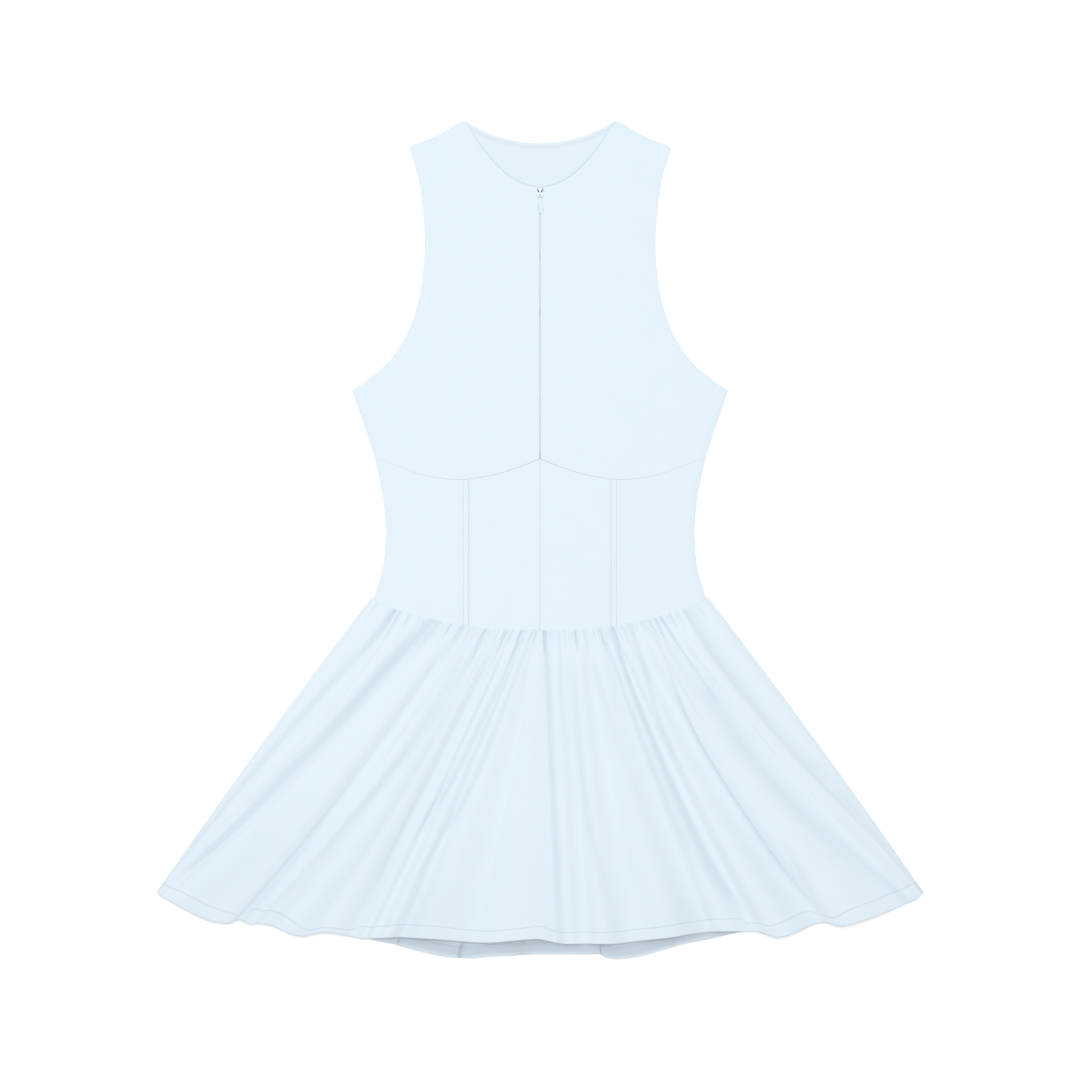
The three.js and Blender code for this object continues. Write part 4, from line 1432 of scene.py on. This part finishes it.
@dataclass
class Skirt:
    """Front and back of the gathered skirt, each one ply with a turned-up hem.

    A point on a ply has u, its place on the waist seam, and w, its share of the way down to the front's hem.
    """

    body: Body
    top_half: float = 169.0
    hem_corner: Point = (383.5, -353.0)
    skirt_gap: float = 1.0
    crown_fade: float = 0.6
    fold_opens: float = 0.12
    lean_opens: float = 0.3
    gather_high: float = 0.6
    groove_deepest: float = 1.9
    wave: float = 0.5
    wave_size: float = 45.0
    seam_dip: float = 0.3
    seam_wide: float = 0.8
    # low_tone darkens the front towards the hem; back_shade, shade_under_hem and shade_at_fold set the painted
    # shadow on the back ply, under the front's hem and beside its own fold edges.
    low_tone: float = 0.14
    back_shade: float = 0.12
    shade_under_hem: float = 7.5
    shade_at_fold: float = 8.0
    back_rise: float = 4.0
    back_rise_at_seam: float = 0.3
    side_hold: float = 6.0
    thickness: float = 0.62
    front_columns: int = 400
    back_columns: int = 240
    front_long: float = 305.0
    back_long: float = 315.0
    gathered_rows: tuple[float, ...] = (
        0, 0.7, 1.5, 2.5, 3.8, 5.4, 7.3, 9.6, 12.3, 15.5, 19.3, 23.8, 29, 35, 42, 50,
    )
    hem_rows: tuple[float, ...] = (289.5, 292, 294, 296, 298.5, 301, 303, 304.2, 305)
    turn_rows: tuple[float, ...] = (1.25, 1.5, 1.75, 2, 2.3, 2.65, 3)
    hem_points: int = 1200
    hem_clear: float = 0.6
    hem_depth: float = 10.5
    hem_step: float = 0.4
    hem_play: float = 0.12
    back_stitch: float = 1.2
    off_table: float = 0.02
    seam_flat: float = 2.5
    roll: float = 0.07
    back_edges: tuple[float, ...] = (-79.0, -21.0, 58.0)
    strands: dict[float, Strand] = field(default_factory=dict)

    def __post_init__(self) -> None:
        """Makes the columns of the tables and lays out the gathers."""
        self.hem_x = Column([(c.seam, c.hem) for c in FRONT_CREASES])
        self.bow = Column([(c.seam, c.bow) for c in FRONT_CREASES])
        self.front_hem_y = Column(FRONT_HEM)
        self.back_hem_y = Column(BACK_HEM)
        self.hem_stitch = Column(HEM_STITCH)
        tucks = tuple(
            Band(((0.0, place), (long, place + swing)), 1.15, 1.0, 0.5, min(1.0, 1.2 * tone), 0.5 * long)
            for place, swing, long, tone in FRONT_TUCKS
        )
        self.front_bands = [(Column(band.path), band) for band in FRONT_BANDS + tucks]
        self.back_bands = [(Column(band.path), band) for band in BACK_BANDS]
        self.fine = self._gathers(random.Random(11), 2.8, 6.6, (0.7, 2.4), (4, 14))
        self.broad = self._gathers(random.Random(5), 7.0, 14.0, (1.0, 2.4), (12, 34))
        self.back_creases = self._back_creases()

    def _gathers(
        self,
        chance: random.Random,
        narrow: float,
        wide: float,
        rise: tuple[float, float],
        length: tuple[float, float],
    ) -> tuple[list[float], list[Point]]:
        """Lays uneven gathers side by side along the waist seam.

        Args:
            chance: Seeded source of the unevenness.
            narrow: Least width of a gather.
            wide: Greatest width.
            rise: Least and greatest height.
            length: Least and greatest distance over which one fades.

        Returns:
            The places of the valleys, and each gather's height and length.
        """
        places, sizes = [-self.top_half], []
        while places[-1] < self.top_half:
            places.append(places[-1] + chance.uniform(narrow, wide))
            sizes.append((chance.uniform(*rise), chance.uniform(*length)))
        return places, sizes

    def _back_creases(self) -> tuple[Crease, ...]:
        """Creases of the back skirt, from their places on its hem.

        Returns:
            The creases.
        """
        hems = (-383.5, -320, -262, -196, -140, -79, -21, 58, 134, 205, 262, 330, 383.5)
        rises = (0.03, 0.05, 0.05, 0.06, 0.055, 0.055, 0.042, 0.045, 0.05, 0.05, 0.05, 0.03, 0)
        peaks = (0.5, 0.6, 0.6, 0.65, 0.7, 0.72, 0.72, 0.3, 0.4, 0.4, 0.4, 0.5, 0.5)
        overs = (0, 0, 0, 0.5, 0.8, 1.5, 1.5, 1.8, -0.5, -0.5, 0, 0, 0)
        return tuple(
            Crease(self.seam_of(hem), hem, 0, rise, peak, 0.8, over)
            for hem, rise, peak, over in zip(hems, rises, peaks, overs)
        )

    def seam_of(self, hem: float) -> float:
        """Finds a line down the skirt by its end.

        Args:
            hem: Its place on the hem.

        Returns:
            Its place on the waist seam.
        """
        low, high = -self.top_half, self.top_half
        for _ in range(40):
            middle = (low + high) / 2
            low, high = (middle, high) if self.hem_x(middle) < hem else (low, middle)
        return low

    def strand(self, u: float) -> Strand:
        """The line down the skirt from a place on the waist seam.

        Args:
            u: Place on the seam.

        Returns:
            The line, kept for the next time.
        """
        if u not in self.strands:
            x = self.hem_x(u)
            top = (u, self.body.waist_seam_y(min(abs(u), self.body.waist_seam[-1][0])) + 0.25)
            foot = (x, self.front_hem_y(x))
            length = top[1] - foot[1]
            reach = 1 + (foot[1] - self.back_hem_y(x)) / length
            self.strands[u] = Strand(u, top, foot, self.bow(u), length, reach)
        return self.strands[u]

    def plan(self, line: Strand, w: float) -> Point:
        """Point in plan, w of the way from the waist seam to the front hem."""
        bow = line.bow * 4 * w * (1 - w)
        return mix(line.top[0], line.foot[0], w) + bow, mix(line.top[1], line.foot[1], w)

    def ceiling(self, u: float, w: float) -> float:
        """Height that the back's folds stay under and the front lies on.

        Args:
            u: Place on the waist seam.
            w: Share of the way down.

        Returns:
            The height.
        """
        edge = abs(u) / self.top_half
        rise = mix(self.back_rise_at_seam, 1, clamp(w)) * smooth(w / self.fold_opens)
        return self.back_rise * rise * (1 - edge**self.side_hold)

    def ridge(self, creases: Sequence[Crease], u: float, w: float) -> tuple[float, float]:
        """Height of a fold, and how far its rolled edge leans to the right.

        Args:
            creases: The creases of the ply.
            u: Place on the waist seam.
            w: Share of the way down.

        Returns:
            Height and lean.
        """
        i = int(clamp(bisect_right([c.seam for c in creases], u) - 1, 0, len(creases) - 2))
        here, following = creases[i], creases[i + 1]
        s = clamp((u - here.seam) / (following.seam - here.seam))
        width = mix(following.seam - here.seam, following.hem - here.hem, w)
        power = math.log(0.5) / math.log(min(here.peak, 1 - here.peak))
        across = s**power if here.peak < 0.5 else 1 - (1 - s) ** power
        start, end = (2 - 1.2 * crease.sharp for crease in (here, following))
        height = here.rise * width * math.sin(math.pi * across) ** mix(start, end, s)
        opened = smooth(w / self.lean_opens)
        lean = 0.0
        if following.over > 0:
            lean += self._rolled(s) * (following.over * opened + self.roll * width * min(1, following.over))
        if here.over < 0:
            lean += self._rolled(1 - s) * (here.over * opened - self.roll * width * min(1, -here.over))
        return height * smooth(w / self.fold_opens), lean * opened

    def _rolled(self, s: float) -> float:
        """Share of the lean across a ridge, greatest just before the crease at s = 1.

        Args:
            s: Share across the ridge.

        Returns:
            The share of the lean.
        """
        turn = 1 - self.roll
        if s < turn:
            return smooth((s - 0.5) / (turn - 0.5))
        return math.cos((s - turn) / self.roll * math.pi / 2)

    def gather(self, line: Strand, w: float) -> float:
        """Gathers below the waist seam.

        Args:
            line: The line down the skirt.
            w: Share of the way down.

        Returns:
            Height over the plain cloth, less than nothing in a valley.
        """
        down = max(0.0, w * line.length)
        height = 0.0
        for places, sizes in (self.fine, self.broad):
            i = int(clamp(bisect_right(places, line.u) - 1, 0, len(sizes) - 1))
            rise, length = sizes[i]
            s = clamp((line.u - places[i]) / (places[i + 1] - places[i]))
            puff = math.sin(math.pi * s) ** 0.75
            fade = math.exp(-((down / length) ** 2))
            height += self.gather_high * rise * (puff - 0.5) * fade
        return height * mix(0.12, 1, smooth(down / self.seam_flat))

    def band_share(self, path: Column, band: Band, u: float, w: float) -> float:
        """How far into a band a point lies.

        Args:
            path: The band's line down the skirt.
            band: The band.
            u: Place on the waist seam.
            w: Share of the way down.

        Returns:
            1 in the middle of the band, less to its sides and its ends.
        """
        start, stop = path.places[0], path.places[-1]
        if w < start - 0.001 or (w > stop and stop < 1):
            return 0.0
        off = u - path(min(w, 1.0))
        wide = band.left if off < 0 else band.right
        if abs(off) > 2.6 * wide:
            return 0.0
        opened = 1.0 if start == 0 else smooth((w - start) / band.fade)
        closed = 1.0 if stop == 1 else smooth((stop - w) / band.fade)
        return opened * closed * dip(off, wide)

    def tone(self, bands: Sequence[tuple[Column, Band]], u: float, w: float) -> float:
        """Painted shade of the ply's folds at a point.

        Args:
            bands: The ply's folds.
            u: Place on the waist seam.
            w: Share of the way down.

        Returns:
            The painted shade, from 0 to 1.
        """
        clear = 1.0
        for path, band in bands:
            clear *= 1 - band.tone * self.band_share(path, band, u, w)
        return 1 - clear

    def front_painted_shade(self, u: float, w: float) -> float:
        """Painted shade of the front ply's folds, and a little darker towards the hem."""
        low = self.low_tone * smooth((w - 0.4) / 0.6)
        return 1 - (1 - self.tone(self.front_bands, u, w)) * (1 - low)

    def back_painted_shade(self, u: float, w: float) -> float:
        """Painted shade of the back ply: a painted shadow, deepest just under the front's hem and beside its
        own fold edges, and the painted shade of its folds.

        Args:
            u: Place on the waist seam.
            w: Share of the way down.

        Returns:
            The painted shade, from 0 to 1.
        """
        line = self.strand(u)
        down = (w if w <= 1 else 2 - w / 2) * line.length * line.reach - line.length
        # Painted shadow of the front's hem on the back ply, then beside the back's fold edges.
        shade = mix(self.back_shade, 1.0, dip(down, self.shade_under_hem) if down > 0 else 1.0)
        for edge in self.back_edges:
            if line.foot[0] > edge:
                shade = max(shade, math.exp(-(line.foot[0] - edge) / self.shade_at_fold))
        return 1 - (1 - shade) * (1 - self.tone(self.back_bands, u, w))

    def grooves(self, bands: Sequence[tuple[Column, Band]], u: float, w: float) -> float:
        """Depth of the folds laid by hand at a point."""
        deep = sum(band.depth * self.band_share(path, band, u, w) for path, band in bands)
        return min(deep, self.groove_deepest) * mix(0.7, 1.0, w)

    def front_main(self, u: float, w: float) -> Vector:
        """Point on the upper face of the front ply, above its turned hem.

        Args:
            u: Place on the waist seam.
            w: Share of the way down, up to 1.

        Returns:
            The point.
        """
        line = self.strand(u)
        x, y = self.plan(line, w)
        down = w * line.length
        body = self.body
        crown = body.front_level(u, body.waist_seam[0][1]) - 2 * body.cloth - body.ply_gap
        fold, lean = self.ridge(FRONT_CREASES, u, w)
        z = 2 * body.cloth + self.skirt_gap + self.ceiling(u, w) + crown * (1 - smooth(w / self.crown_fade))
        z += fold + self.gather(line, w)
        z -= self.grooves(self.front_bands, u, w) * mix(0.1, 1, smooth(down / self.seam_flat))
        z -= self.seam_dip * dip(down, self.seam_wide)
        edge = (self.top_half - abs(u)) * mix(1, 2.2, w)
        z -= mix(0.6, 0.2, smooth((w - 0.88) / 0.07)) * dip(edge, 2.4)
        z += self.wave * (1 - dip(edge, 12)) * ripple(x, y, self.wave_size, 2.0) * smooth(w / 0.3)
        turned = self.hem_stitch(line.foot[0])
        z += self.hem_step * smooth((turned - (1 - w) * line.length) / 2.5 + 0.5)
        return Vector((x + lean, y, z))

    def back_main(self, u: float, w: float) -> Vector:
        """Point on the upper face of the back ply, above its turned hem.

        Args:
            u: Place on the waist seam.
            w: Share of the way down, up to 1.

        Returns:
            The point.
        """
        line = self.strand(u)
        x, y = self.plan(line, w * line.reach)
        fold, lean = self.ridge(self.back_creases, u, min(1, w * line.reach))
        edge = 1 - (abs(u) / self.top_half) ** self.side_hold
        lowest = self.thickness + self.off_table
        z = lowest + min(fold, 0.85 * self.ceiling(u, w) + 0.2) * edge
        z += (0.3 * self.gather(line, w) - 0.5 * self.grooves(self.back_bands, u, w)) * edge
        return Vector((x + lean * edge, y, max(z, lowest)))

    def turned(self, main: Callable[[float, float], Vector], under: bool, u: float, w: float) -> Vector:
        """Point on a ply that turns at its hem and goes back as the turned-up part.

        Args:
            main: The ply without its turn.
            under: Whether it turns under the ply, or over it.
            u: Place on the waist seam.
            w: Up to 1 down the ply, to 2 round the turn, and to 3 back along the turned-up part.

        Returns:
            The point.
        """
        length = self.strand(u).length
        radius = self.thickness + self.hem_play if under else self.hem_play
        sign = -1 if under else 1
        end = 1 - (radius if under else radius + self.thickness) / length
        if w <= 1:
            return main(u, w * end)
        if w <= 2:
            angle = math.pi * (w - 1)
            foot = main(u, end)
            out = (foot - main(u, end - 0.01)) * Vector((1, 1, 0))
            out.normalize()
            lift = Vector((0, 0, sign * radius * (1 - math.cos(angle))))
            return foot + out * (radius * math.sin(angle)) + lift
        back = (w - 2) * self.hem_depth / length
        return main(u, end - back) + Vector((0, 0, sign * 2 * radius))

    def _columns(self, count: int) -> list[float]:
        """Places of a ply's columns along the waist seam, closer at the creases.

        Args:
            count: About how many.

        Returns:
            The places.
        """
        places = []
        for a, b in zip(FRONT_CREASES, FRONT_CREASES[1:]):
            by_seam = (b.seam - a.seam) / (2 * self.top_half)
            by_hem = (b.hem - a.hem) / (2 * self.hem_corner[0])
            cells = max(5, round(count * (0.55 * by_seam + 0.45 * by_hem)))
            for i in range(cells):
                t = i / cells
                places.append(mix(a.seam, b.seam, t - 0.2 * math.sin(2 * math.pi * t) / (2 * math.pi)))
        edge = [self.top_half - near for near in (0.25, 0.6)]
        tucked = [place + swing / 2 + off for place, swing, _, _ in FRONT_TUCKS for off in (-0.4, 0.4)]
        places = [u for u in places if all(abs(u - near) > 0.22 for near in tucked)]
        return sorted(places + tucked + [self.top_half, *edge, *(-u for u in edge)])

    def build(self, wardrobe: Wardrobe) -> None:
        """Makes both plies with their hem stitching.

        Args:
            wardrobe: The finishes.
        """
        self._build_back(wardrobe)
        self._build_front(wardrobe)

    def _normal(self, surface: Callable[[float, float], Vector], u: float, w: float) -> Vector:
        """Upward normal of a ply.

        Args:
            surface: The ply.
            u: Place on the waist seam.
            w: Share of the way down.

        Returns:
            The normal, one unit long.
        """
        across = surface(u + 0.2, w) - surface(u - 0.2, w)
        down = surface(u, w) - surface(u, w - 0.004)
        return down.cross(across).normalized()

    def _cut_place(self, length: float, u: float, w: float) -> Point:
        """Place on the cut cloth of a ply of this length."""
        return self.hem_x(u), -w * length

    def _along_hem(self) -> list[float]:
        """Places on the waist seam of a close row of points along a hem."""
        end = self.top_half - self.hem_clear
        return [mix(-end, end, i / self.hem_points) for i in range(self.hem_points + 1)]

    def _build_front(self, wardrobe: Wardrobe) -> None:
        """Makes the front ply, whose hem turns under.

        Args:
            wardrobe: The finishes.
        """
        surface = partial(self.turned, self.front_main, True)
        low = self.gathered_rows[-1]
        middle = tuple(mix(low, 287, (i + 1) / 54) for i in range(54))
        downs = self.gathered_rows + middle + self.hem_rows

        def stitch(u: float, w: float) -> float:
            """Distance from the row of stitches."""
            line = self.strand(u)
            return (1 - w) * line.length - self.hem_stitch(line.foot[0]) if w <= 1 else FAR

        sheet = Sheet(
            "cloth_skirt_front",
            self._columns(self.front_columns),
            [down / self.front_long for down in downs] + list(self.turn_rows),
            surface,
            partial(self._cut_place, self.front_long),
            stitch,
            self.front_painted_shade,
            thickness=self.thickness,
            rim=0.0,
            extra_to=low / self.front_long,
        )
        piece = sheet.build()
        wardrobe.dress(piece, Finish.KNIT)
        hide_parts("skirt_front")
        line = []
        for u in self._along_hem():
            strand = self.strand(u)
            w = 1 - self.hem_stitch(strand.foot[0]) / strand.length
            line.append((surface(u, w), self._normal(surface, u, w)))
        sewn = Stitches(thick=0.28).run("stitches_front_hem", [line])
        wardrobe.dress(sewn, Finish.THREAD, Finish.KNIT)

    def _build_back(self, wardrobe: Wardrobe) -> None:
        """Makes the back ply, whose hem turns over onto the inside that shows.

        Args:
            wardrobe: The finishes.
        """
        surface = partial(self.turned, self.back_main, False)

        def stitch(u: float, w: float) -> float:
            """Distance from the row of stitches."""
            return (3 - w) * self.hem_depth - self.back_stitch if w >= 2 else FAR

        sheet = Sheet(
            "cloth_skirt_back",
            self._columns(self.back_columns),
            [i / 52 for i in range(50)] + [0.958, 0.972, 0.986, 0.995, 1.0, *self.turn_rows],
            surface,
            partial(self._cut_place, self.back_long),
            stitch,
            self.back_painted_shade,
            thickness=self.thickness,
            rim=0.0,
        )
        piece = sheet.build()
        wardrobe.dress(piece, Finish.INSIDE)
        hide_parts("skirt_back")
        up, sewn_at = Vector((0, 0, self.thickness)), 3 - self.back_stitch / self.hem_depth
        line = [
            (surface(u, sewn_at) + up, self._normal(self.back_main, u, 0.96)) for u in self._along_hem()
        ]
        sewn = Stitches(thick=0.28).run("stitches_back_hem", [line])
        wardrobe.dress(sewn, Finish.THREAD, Finish.INSIDE)


# ---- Zip


@dataclass
class Zip:
    """Concealed zip: two tapes with a nylon coil, a slider and a drop-shaped pull."""

    body: Body
    tape_thick: float = 0.8
    tape_wide: float = 12.0
    tape_edge: float = 0.3
    low: float = 84.0
    high: float = 343.0
    coil_pitch: float = 1.15
    coil_long: float = 1.9
    coil_wire: float = 0.62
    coil_x: float = 0.75
    coil_lift: float = 0.22
    coil_slant: float = 0.25
    slider_top: float = 352.6
    slider_long: float = 9.8
    slider_round: float = 0.12
    slot_half: float = 0.55
    slot_top: Point = (2.6, 351.2)
    slot_low: Point = (1.2, 347.4)
    slot_wider: float = 0.32
    slot_higher: float = 0.22
    wing_wide: float = 6.2
    wing_long: float = 7.6
    wing_thick: float = 0.5
    wing_inset: float = 0.9
    wing_foot: float = 0.55
    wing_fork: float = 1.2
    plate_low: float = 5.2
    bar_y: float = 343.8
    bar_z: float = 6.65
    eye_inner: float = 0.75
    eye_outer: float = 1.45
    eye_wide: float = 1.6
    pull_long: float = 17.0
    pull_wide: float = 6.0
    pull_neck: float = 3.6
    pull_thick: float = 1.0
    pull_top: float = 1.1
    pull_toe: float = 1.6
    pull_round: float = 0.3
    rim_wide: float = 0.3
    rim_slope: float = 0.16
    face_deep: float = 0.28
    widest_down: float = 12.5
    neck_down: float = 2.9
    waist_down: float = 5.5

    def __post_init__(self) -> None:
        """Makes the table of the pull's half width by the distance below the bar."""
        half = self.pull_wide / 2
        self.half_width = Column(
            [
                (self.pull_top, self.eye_wide / 2),
                (self.neck_down, self.pull_neck / 2),
                (self.waist_down, self.pull_neck / 2 + 0.25),
                (self.widest_down, half),
                (self.pull_long - self.pull_toe, half * 0.82),
            ]
        )

    def build(self, wardrobe: Wardrobe) -> None:
        """Makes the zip's pieces.

        Args:
            wardrobe: The finishes.
        """
        for name, side in (("left", -1), ("right", 1)):
            self._build_tape(wardrobe, name, side)
        self._build_slider(wardrobe)
        self._build_pull(wardrobe)

    def _build_tape(self, wardrobe: Wardrobe, name: str, side: int) -> None:
        """Makes one tape and its half of the coil.

        Args:
            wardrobe: The finishes.
            name: left or right.
            side: -1 or 1.
        """
        body = self.body

        def grain(s: float, t: float) -> Point:
            """Place on the tape, which is its place in plan too."""
            return side * mix(self.tape_edge, self.tape_wide, s), mix(self.low, self.high, t)

        def place(s: float, t: float) -> Vector:
            """Point at a share across and a share up."""
            x, y = grain(s, t)
            return Vector((x, y, body.front_level(x, y) - body.cloth - body.ply_gap))

        sheet = Sheet(
            f"cloth_zip_tape_{name}",
            [i / 8 for i in range(9)],
            [i / 60 for i in range(61)],
            place,
            grain,
            thickness=self.tape_thick,
            rim=0.12,
        )
        tape = sheet.build()
        wardrobe.dress(tape, Finish.TAPE)
        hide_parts(f"zip_tape_{name}")
        loop = bmesh.new()
        bmesh.ops.create_uvsphere(loop, u_segments=8, v_segments=6, radius=0.5)
        bmesh.ops.scale(loop, verts=loop.verts, vec=(self.coil_long, self.coil_wire, self.coil_wire))
        slant = Matrix.Rotation(side * self.coil_slant, 4, "Z")
        places = []
        y = self.low + 1 + (0.5 * self.coil_pitch if side > 0 else 0)
        while y < self.high - 1:
            z = body.front_level(0, y) - body.cloth - body.ply_gap + self.coil_lift
            places.append(Matrix.Translation((side * self.coil_x, y, z)) @ slant)
            y += self.coil_pitch
        coil = finished(copies(loop, places), f"zip_coil_{name}")
        wardrobe.dress(coil, Finish.NYLON, Finish.TAPE)

    def _build_slider(self, wardrobe: Wardrobe) -> None:
        """Makes the slider with softened edges, and the wing that runs inside the zip, near black as painted
        shade in the slots.

        Args:
            wardrobe: The finishes.
        """
        bm = bmesh.new()
        bm.from_mesh(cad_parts["zip_slider"].data)
        bmesh.ops.scale(bm, vec=(1 / MM, 1 / MM, 1 / MM), verts=bm.verts)
        bmesh.ops.remove_doubles(bm, verts=bm.verts, dist=0.002)
        bmesh.ops.dissolve_limit(bm, angle_limit=math.radians(2), verts=bm.verts, edges=bm.edges)
        for vert in bm.verts:
            self._widen_slot(vert)
        sharp = [edge for edge in bm.edges if edge.calc_face_angle(0) > math.radians(50)]
        rounded(bm, sharp, self.slider_round, clamp_overlap=True)
        piece = finished(bm, "slider")
        wardrobe.dress(piece, Finish.LACQUER)
        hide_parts("zip_slider")
        wing = bmesh.new()
        bmesh.ops.create_cube(wing, size=1.0)
        bmesh.ops.scale(wing, verts=wing.verts, vec=(self.wing_wide, self.wing_long, self.wing_thick))
        bmesh.ops.subdivide_edges(wing, edges=wing.edges, cuts=3, use_grid_fill=True)
        foot, top = self.slider_top - self.slider_long, self.slider_top
        middle = top - self.wing_inset - self.wing_long / 2
        bmesh.ops.translate(wing, verts=wing.verts, vec=(0, middle, self.plate_low - 0.45))
        for vert in wing.verts:
            share = clamp((vert.co.y - foot) / (top - foot))
            vert.co.x *= mix(self.wing_foot, 1.0, share)
            inwards = 1 - abs(vert.co.x) / (self.wing_wide / 2)
            vert.co.y -= inwards * self.wing_fork * smooth((share - 0.7) / 0.3)
        rounded(wing, [edge for edge in wing.edges if edge.calc_face_angle(0) > 1.0], self.slider_round)
        inner = finished(wing, "slider_wing")
        # The wing's near-black finish is painted shade seen through the slots.
        wardrobe.dress(inner, Finish.THROAT_PAINTED_SHADE, Finish.LACQUER)

    def _widen_slot(self, vert: bmesh.types.BMVert) -> None:
        """Moves a corner of the slider's slanted slots outwards, to the width that the photo shows.

        Args:
            vert: A corner of the slider, which stays where it is if it isn't a slot's.
        """
        near = 0.03
        for (x, y), up in ((self.slot_top, self.slot_higher), (self.slot_low, 0.0)):
            across = abs(vert.co.x) - x
            if abs(abs(across) - self.slot_half) < near and abs(vert.co.y - y) < near:
                vert.co.x += math.copysign(self.slot_wider, across * vert.co.x)
                vert.co.y += up

    def _half_width(self, down: float) -> float:
        """Half width of the pull at a distance below the bar, with its round toe."""
        share = clamp((down - self.pull_long + self.pull_toe) / self.pull_toe)
        return self.half_width(down) * math.sqrt(max(0.0, 1 - share * share))

    def _build_pull(self, wardrobe: Wardrobe) -> None:
        """Makes the pull: a drop-shaped plate with a sunk face, and the eye round the slider's bar.

        Args:
            wardrobe: The finishes.
        """
        bm = bmesh.new()
        bmesh.ops.create_circle(bm, cap_ends=True, segments=64, radius=1.0)
        for vert in bm.verts:
            down = mix(self.pull_top, self.pull_long, (1 - vert.co.y) / 2)
            side = math.copysign(1, vert.co.x) if abs(vert.co.x) > 1e-4 else 0
            vert.co = Vector((side * self._half_width(down), self.bar_y - down, self.plate_low))
        plate = bmesh.ops.extrude_face_region(bm, geom=bm.faces[:])
        raised = [item for item in plate["geom"] if isinstance(item, bmesh.types.BMVert)]
        bmesh.ops.translate(bm, verts=raised, vec=(0, 0, self.pull_thick))
        bmesh.ops.recalc_face_normals(bm, faces=bm.faces)
        rim = [edge for edge in bm.edges if edge.calc_face_angle(0) > 1.2]
        rounded(bm, rim, self.pull_round, 3, clamp_overlap=True)
        upper = max(bm.faces, key=lambda f: (round(f.normal.z, 2), f.calc_area()))
        bmesh.ops.inset_individual(bm, faces=[upper], thickness=self.rim_wide, depth=0.0)
        bmesh.ops.inset_individual(bm, faces=[upper], thickness=self.rim_slope, depth=-self.face_deep)
        ring = bmesh.new()
        radius, half = (self.eye_inner + self.eye_outer) / 2, (self.eye_outer - self.eye_inner) / 2
        bmesh.ops.create_circle(ring, segments=12, radius=1.0)
        bmesh.ops.scale(ring, verts=ring.verts, vec=(self.eye_wide / 2, half, 1))
        bmesh.ops.translate(ring, verts=ring.verts, vec=(0, radius, 0))
        bent = {"axis": (1, 0, 0), "cent": (0, 0, 0), "angle": 2 * math.pi, "steps": 32, "use_merge": True}
        bmesh.ops.spin(ring, geom=ring.verts[:] + ring.edges[:], **bent)
        bmesh.ops.recalc_face_normals(ring, faces=ring.faces)
        bmesh.ops.translate(ring, verts=ring.verts, vec=(0, self.bar_y, self.bar_z))
        eye = bpy.data.meshes.new("eye")
        ring.to_mesh(eye)
        ring.free()
        bm.from_mesh(eye)
        bpy.data.meshes.remove(eye)
        piece = finished(bm, "pull", "pull_tab")
        wardrobe.dress(piece, Finish.LACQUER)
        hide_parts("zip_pull")


# ---- Studio


@dataclass
class Studio:
    """Pale sweep, a large soft box overhead, a weak key light and a camera straight above."""

    camera_height: float = 3.604
    lens: float = 120.0
    sensor: float = 36.0
    sweep: float = 7.0
    sweep_drop: float = 0.3
    sky: float = 0.4
    overhead: float = 203.0
    overhead_place: tuple[float, float, float] = (0, 0, 5.0)
    overhead_size: float = 3.0
    key: float = 18.0
    key_place: tuple[float, float, float] = (-1.5, 1.9, 2.6)
    key_size: float = 1.6

    def build(self) -> None:
        """Makes the sweep, the lights and the camera."""
        self._build_sweep()
        self._light("overhead_box", self.overhead_place, self.overhead_size, self.overhead)
        self._light("key_light", self.key_place, self.key_size, self.key)
        self._build_sky()
        self._build_camera()

    def _build_sweep(self) -> None:
        """Makes the pale surface just under the dress."""
        bm = bmesh.new()
        bmesh.ops.create_grid(bm, x_segments=8, y_segments=8, size=self.sweep / 2 / MM)
        bmesh.ops.translate(bm, verts=bm.verts, vec=(0, 0, -self.sweep_drop))
        bmesh.ops.scale(bm, vec=(MM, MM, MM), verts=bm.verts)
        mesh = bpy.data.meshes.new("sweep")
        bm.to_mesh(mesh)
        bm.free()
        floor = bpy.data.objects.new("sweep", mesh)
        bpy.context.scene.collection.objects.link(floor)
        mesh.materials.append(Paper().material())

    def _light(self, name: str, place: tuple[float, float, float], size: float, power: float) -> None:
        """Hangs a square soft box that faces the dress.

        Args:
            name: Name of the light.
            place: Where it hangs, in metres.
            size: Its side, in metres.
            power: Its power in watts.
        """
        lamp = bpy.data.lights.new(name, "AREA")
        lamp.shape, lamp.size, lamp.energy = "SQUARE", size, power
        light = bpy.data.objects.new(name, lamp)
        light.location = place
        light.rotation_euler = (-Vector(place)).to_track_quat("-Z", "Y").to_euler()
        bpy.context.scene.collection.objects.link(light)

    def _build_sky(self) -> None:
        """Lights the room evenly in white, and keeps the colours as they are."""
        scene = bpy.context.scene
        world = bpy.data.worlds.new("studio_white")
        world.use_nodes = True
        world.node_tree.nodes["Background"].inputs["Color"].default_value = (1, 1, 1, 1)
        world.node_tree.nodes["Background"].inputs["Strength"].default_value = self.sky
        scene.world = world
        scene.view_settings.view_transform = "Standard"
        scene.view_settings.look = "None"

    def _build_camera(self) -> None:
        """Puts the camera straight over the dress, with its neck at the top of the picture."""
        lens = bpy.data.cameras.new("camera")
        lens.lens, lens.sensor_width = self.lens, self.sensor
        camera = bpy.data.objects.new("camera", lens)
        camera.location = (0, 0, self.camera_height)
        bpy.context.scene.collection.objects.link(camera)
        bpy.context.scene.camera = camera


def main() -> None:
    """Builds the dress on its frame and sets up the studio."""
    logging.basicConfig(level=logging.INFO, format="%(name)s %(message)s", force=True)
    Studio().build()
    wardrobe = Wardrobe()
    body = Body()
    body.build(wardrobe)
    Skirt(body).build(wardrobe)
    Zip(body).build(wardrobe)
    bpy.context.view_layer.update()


if __name__ == "__main__":
    main()
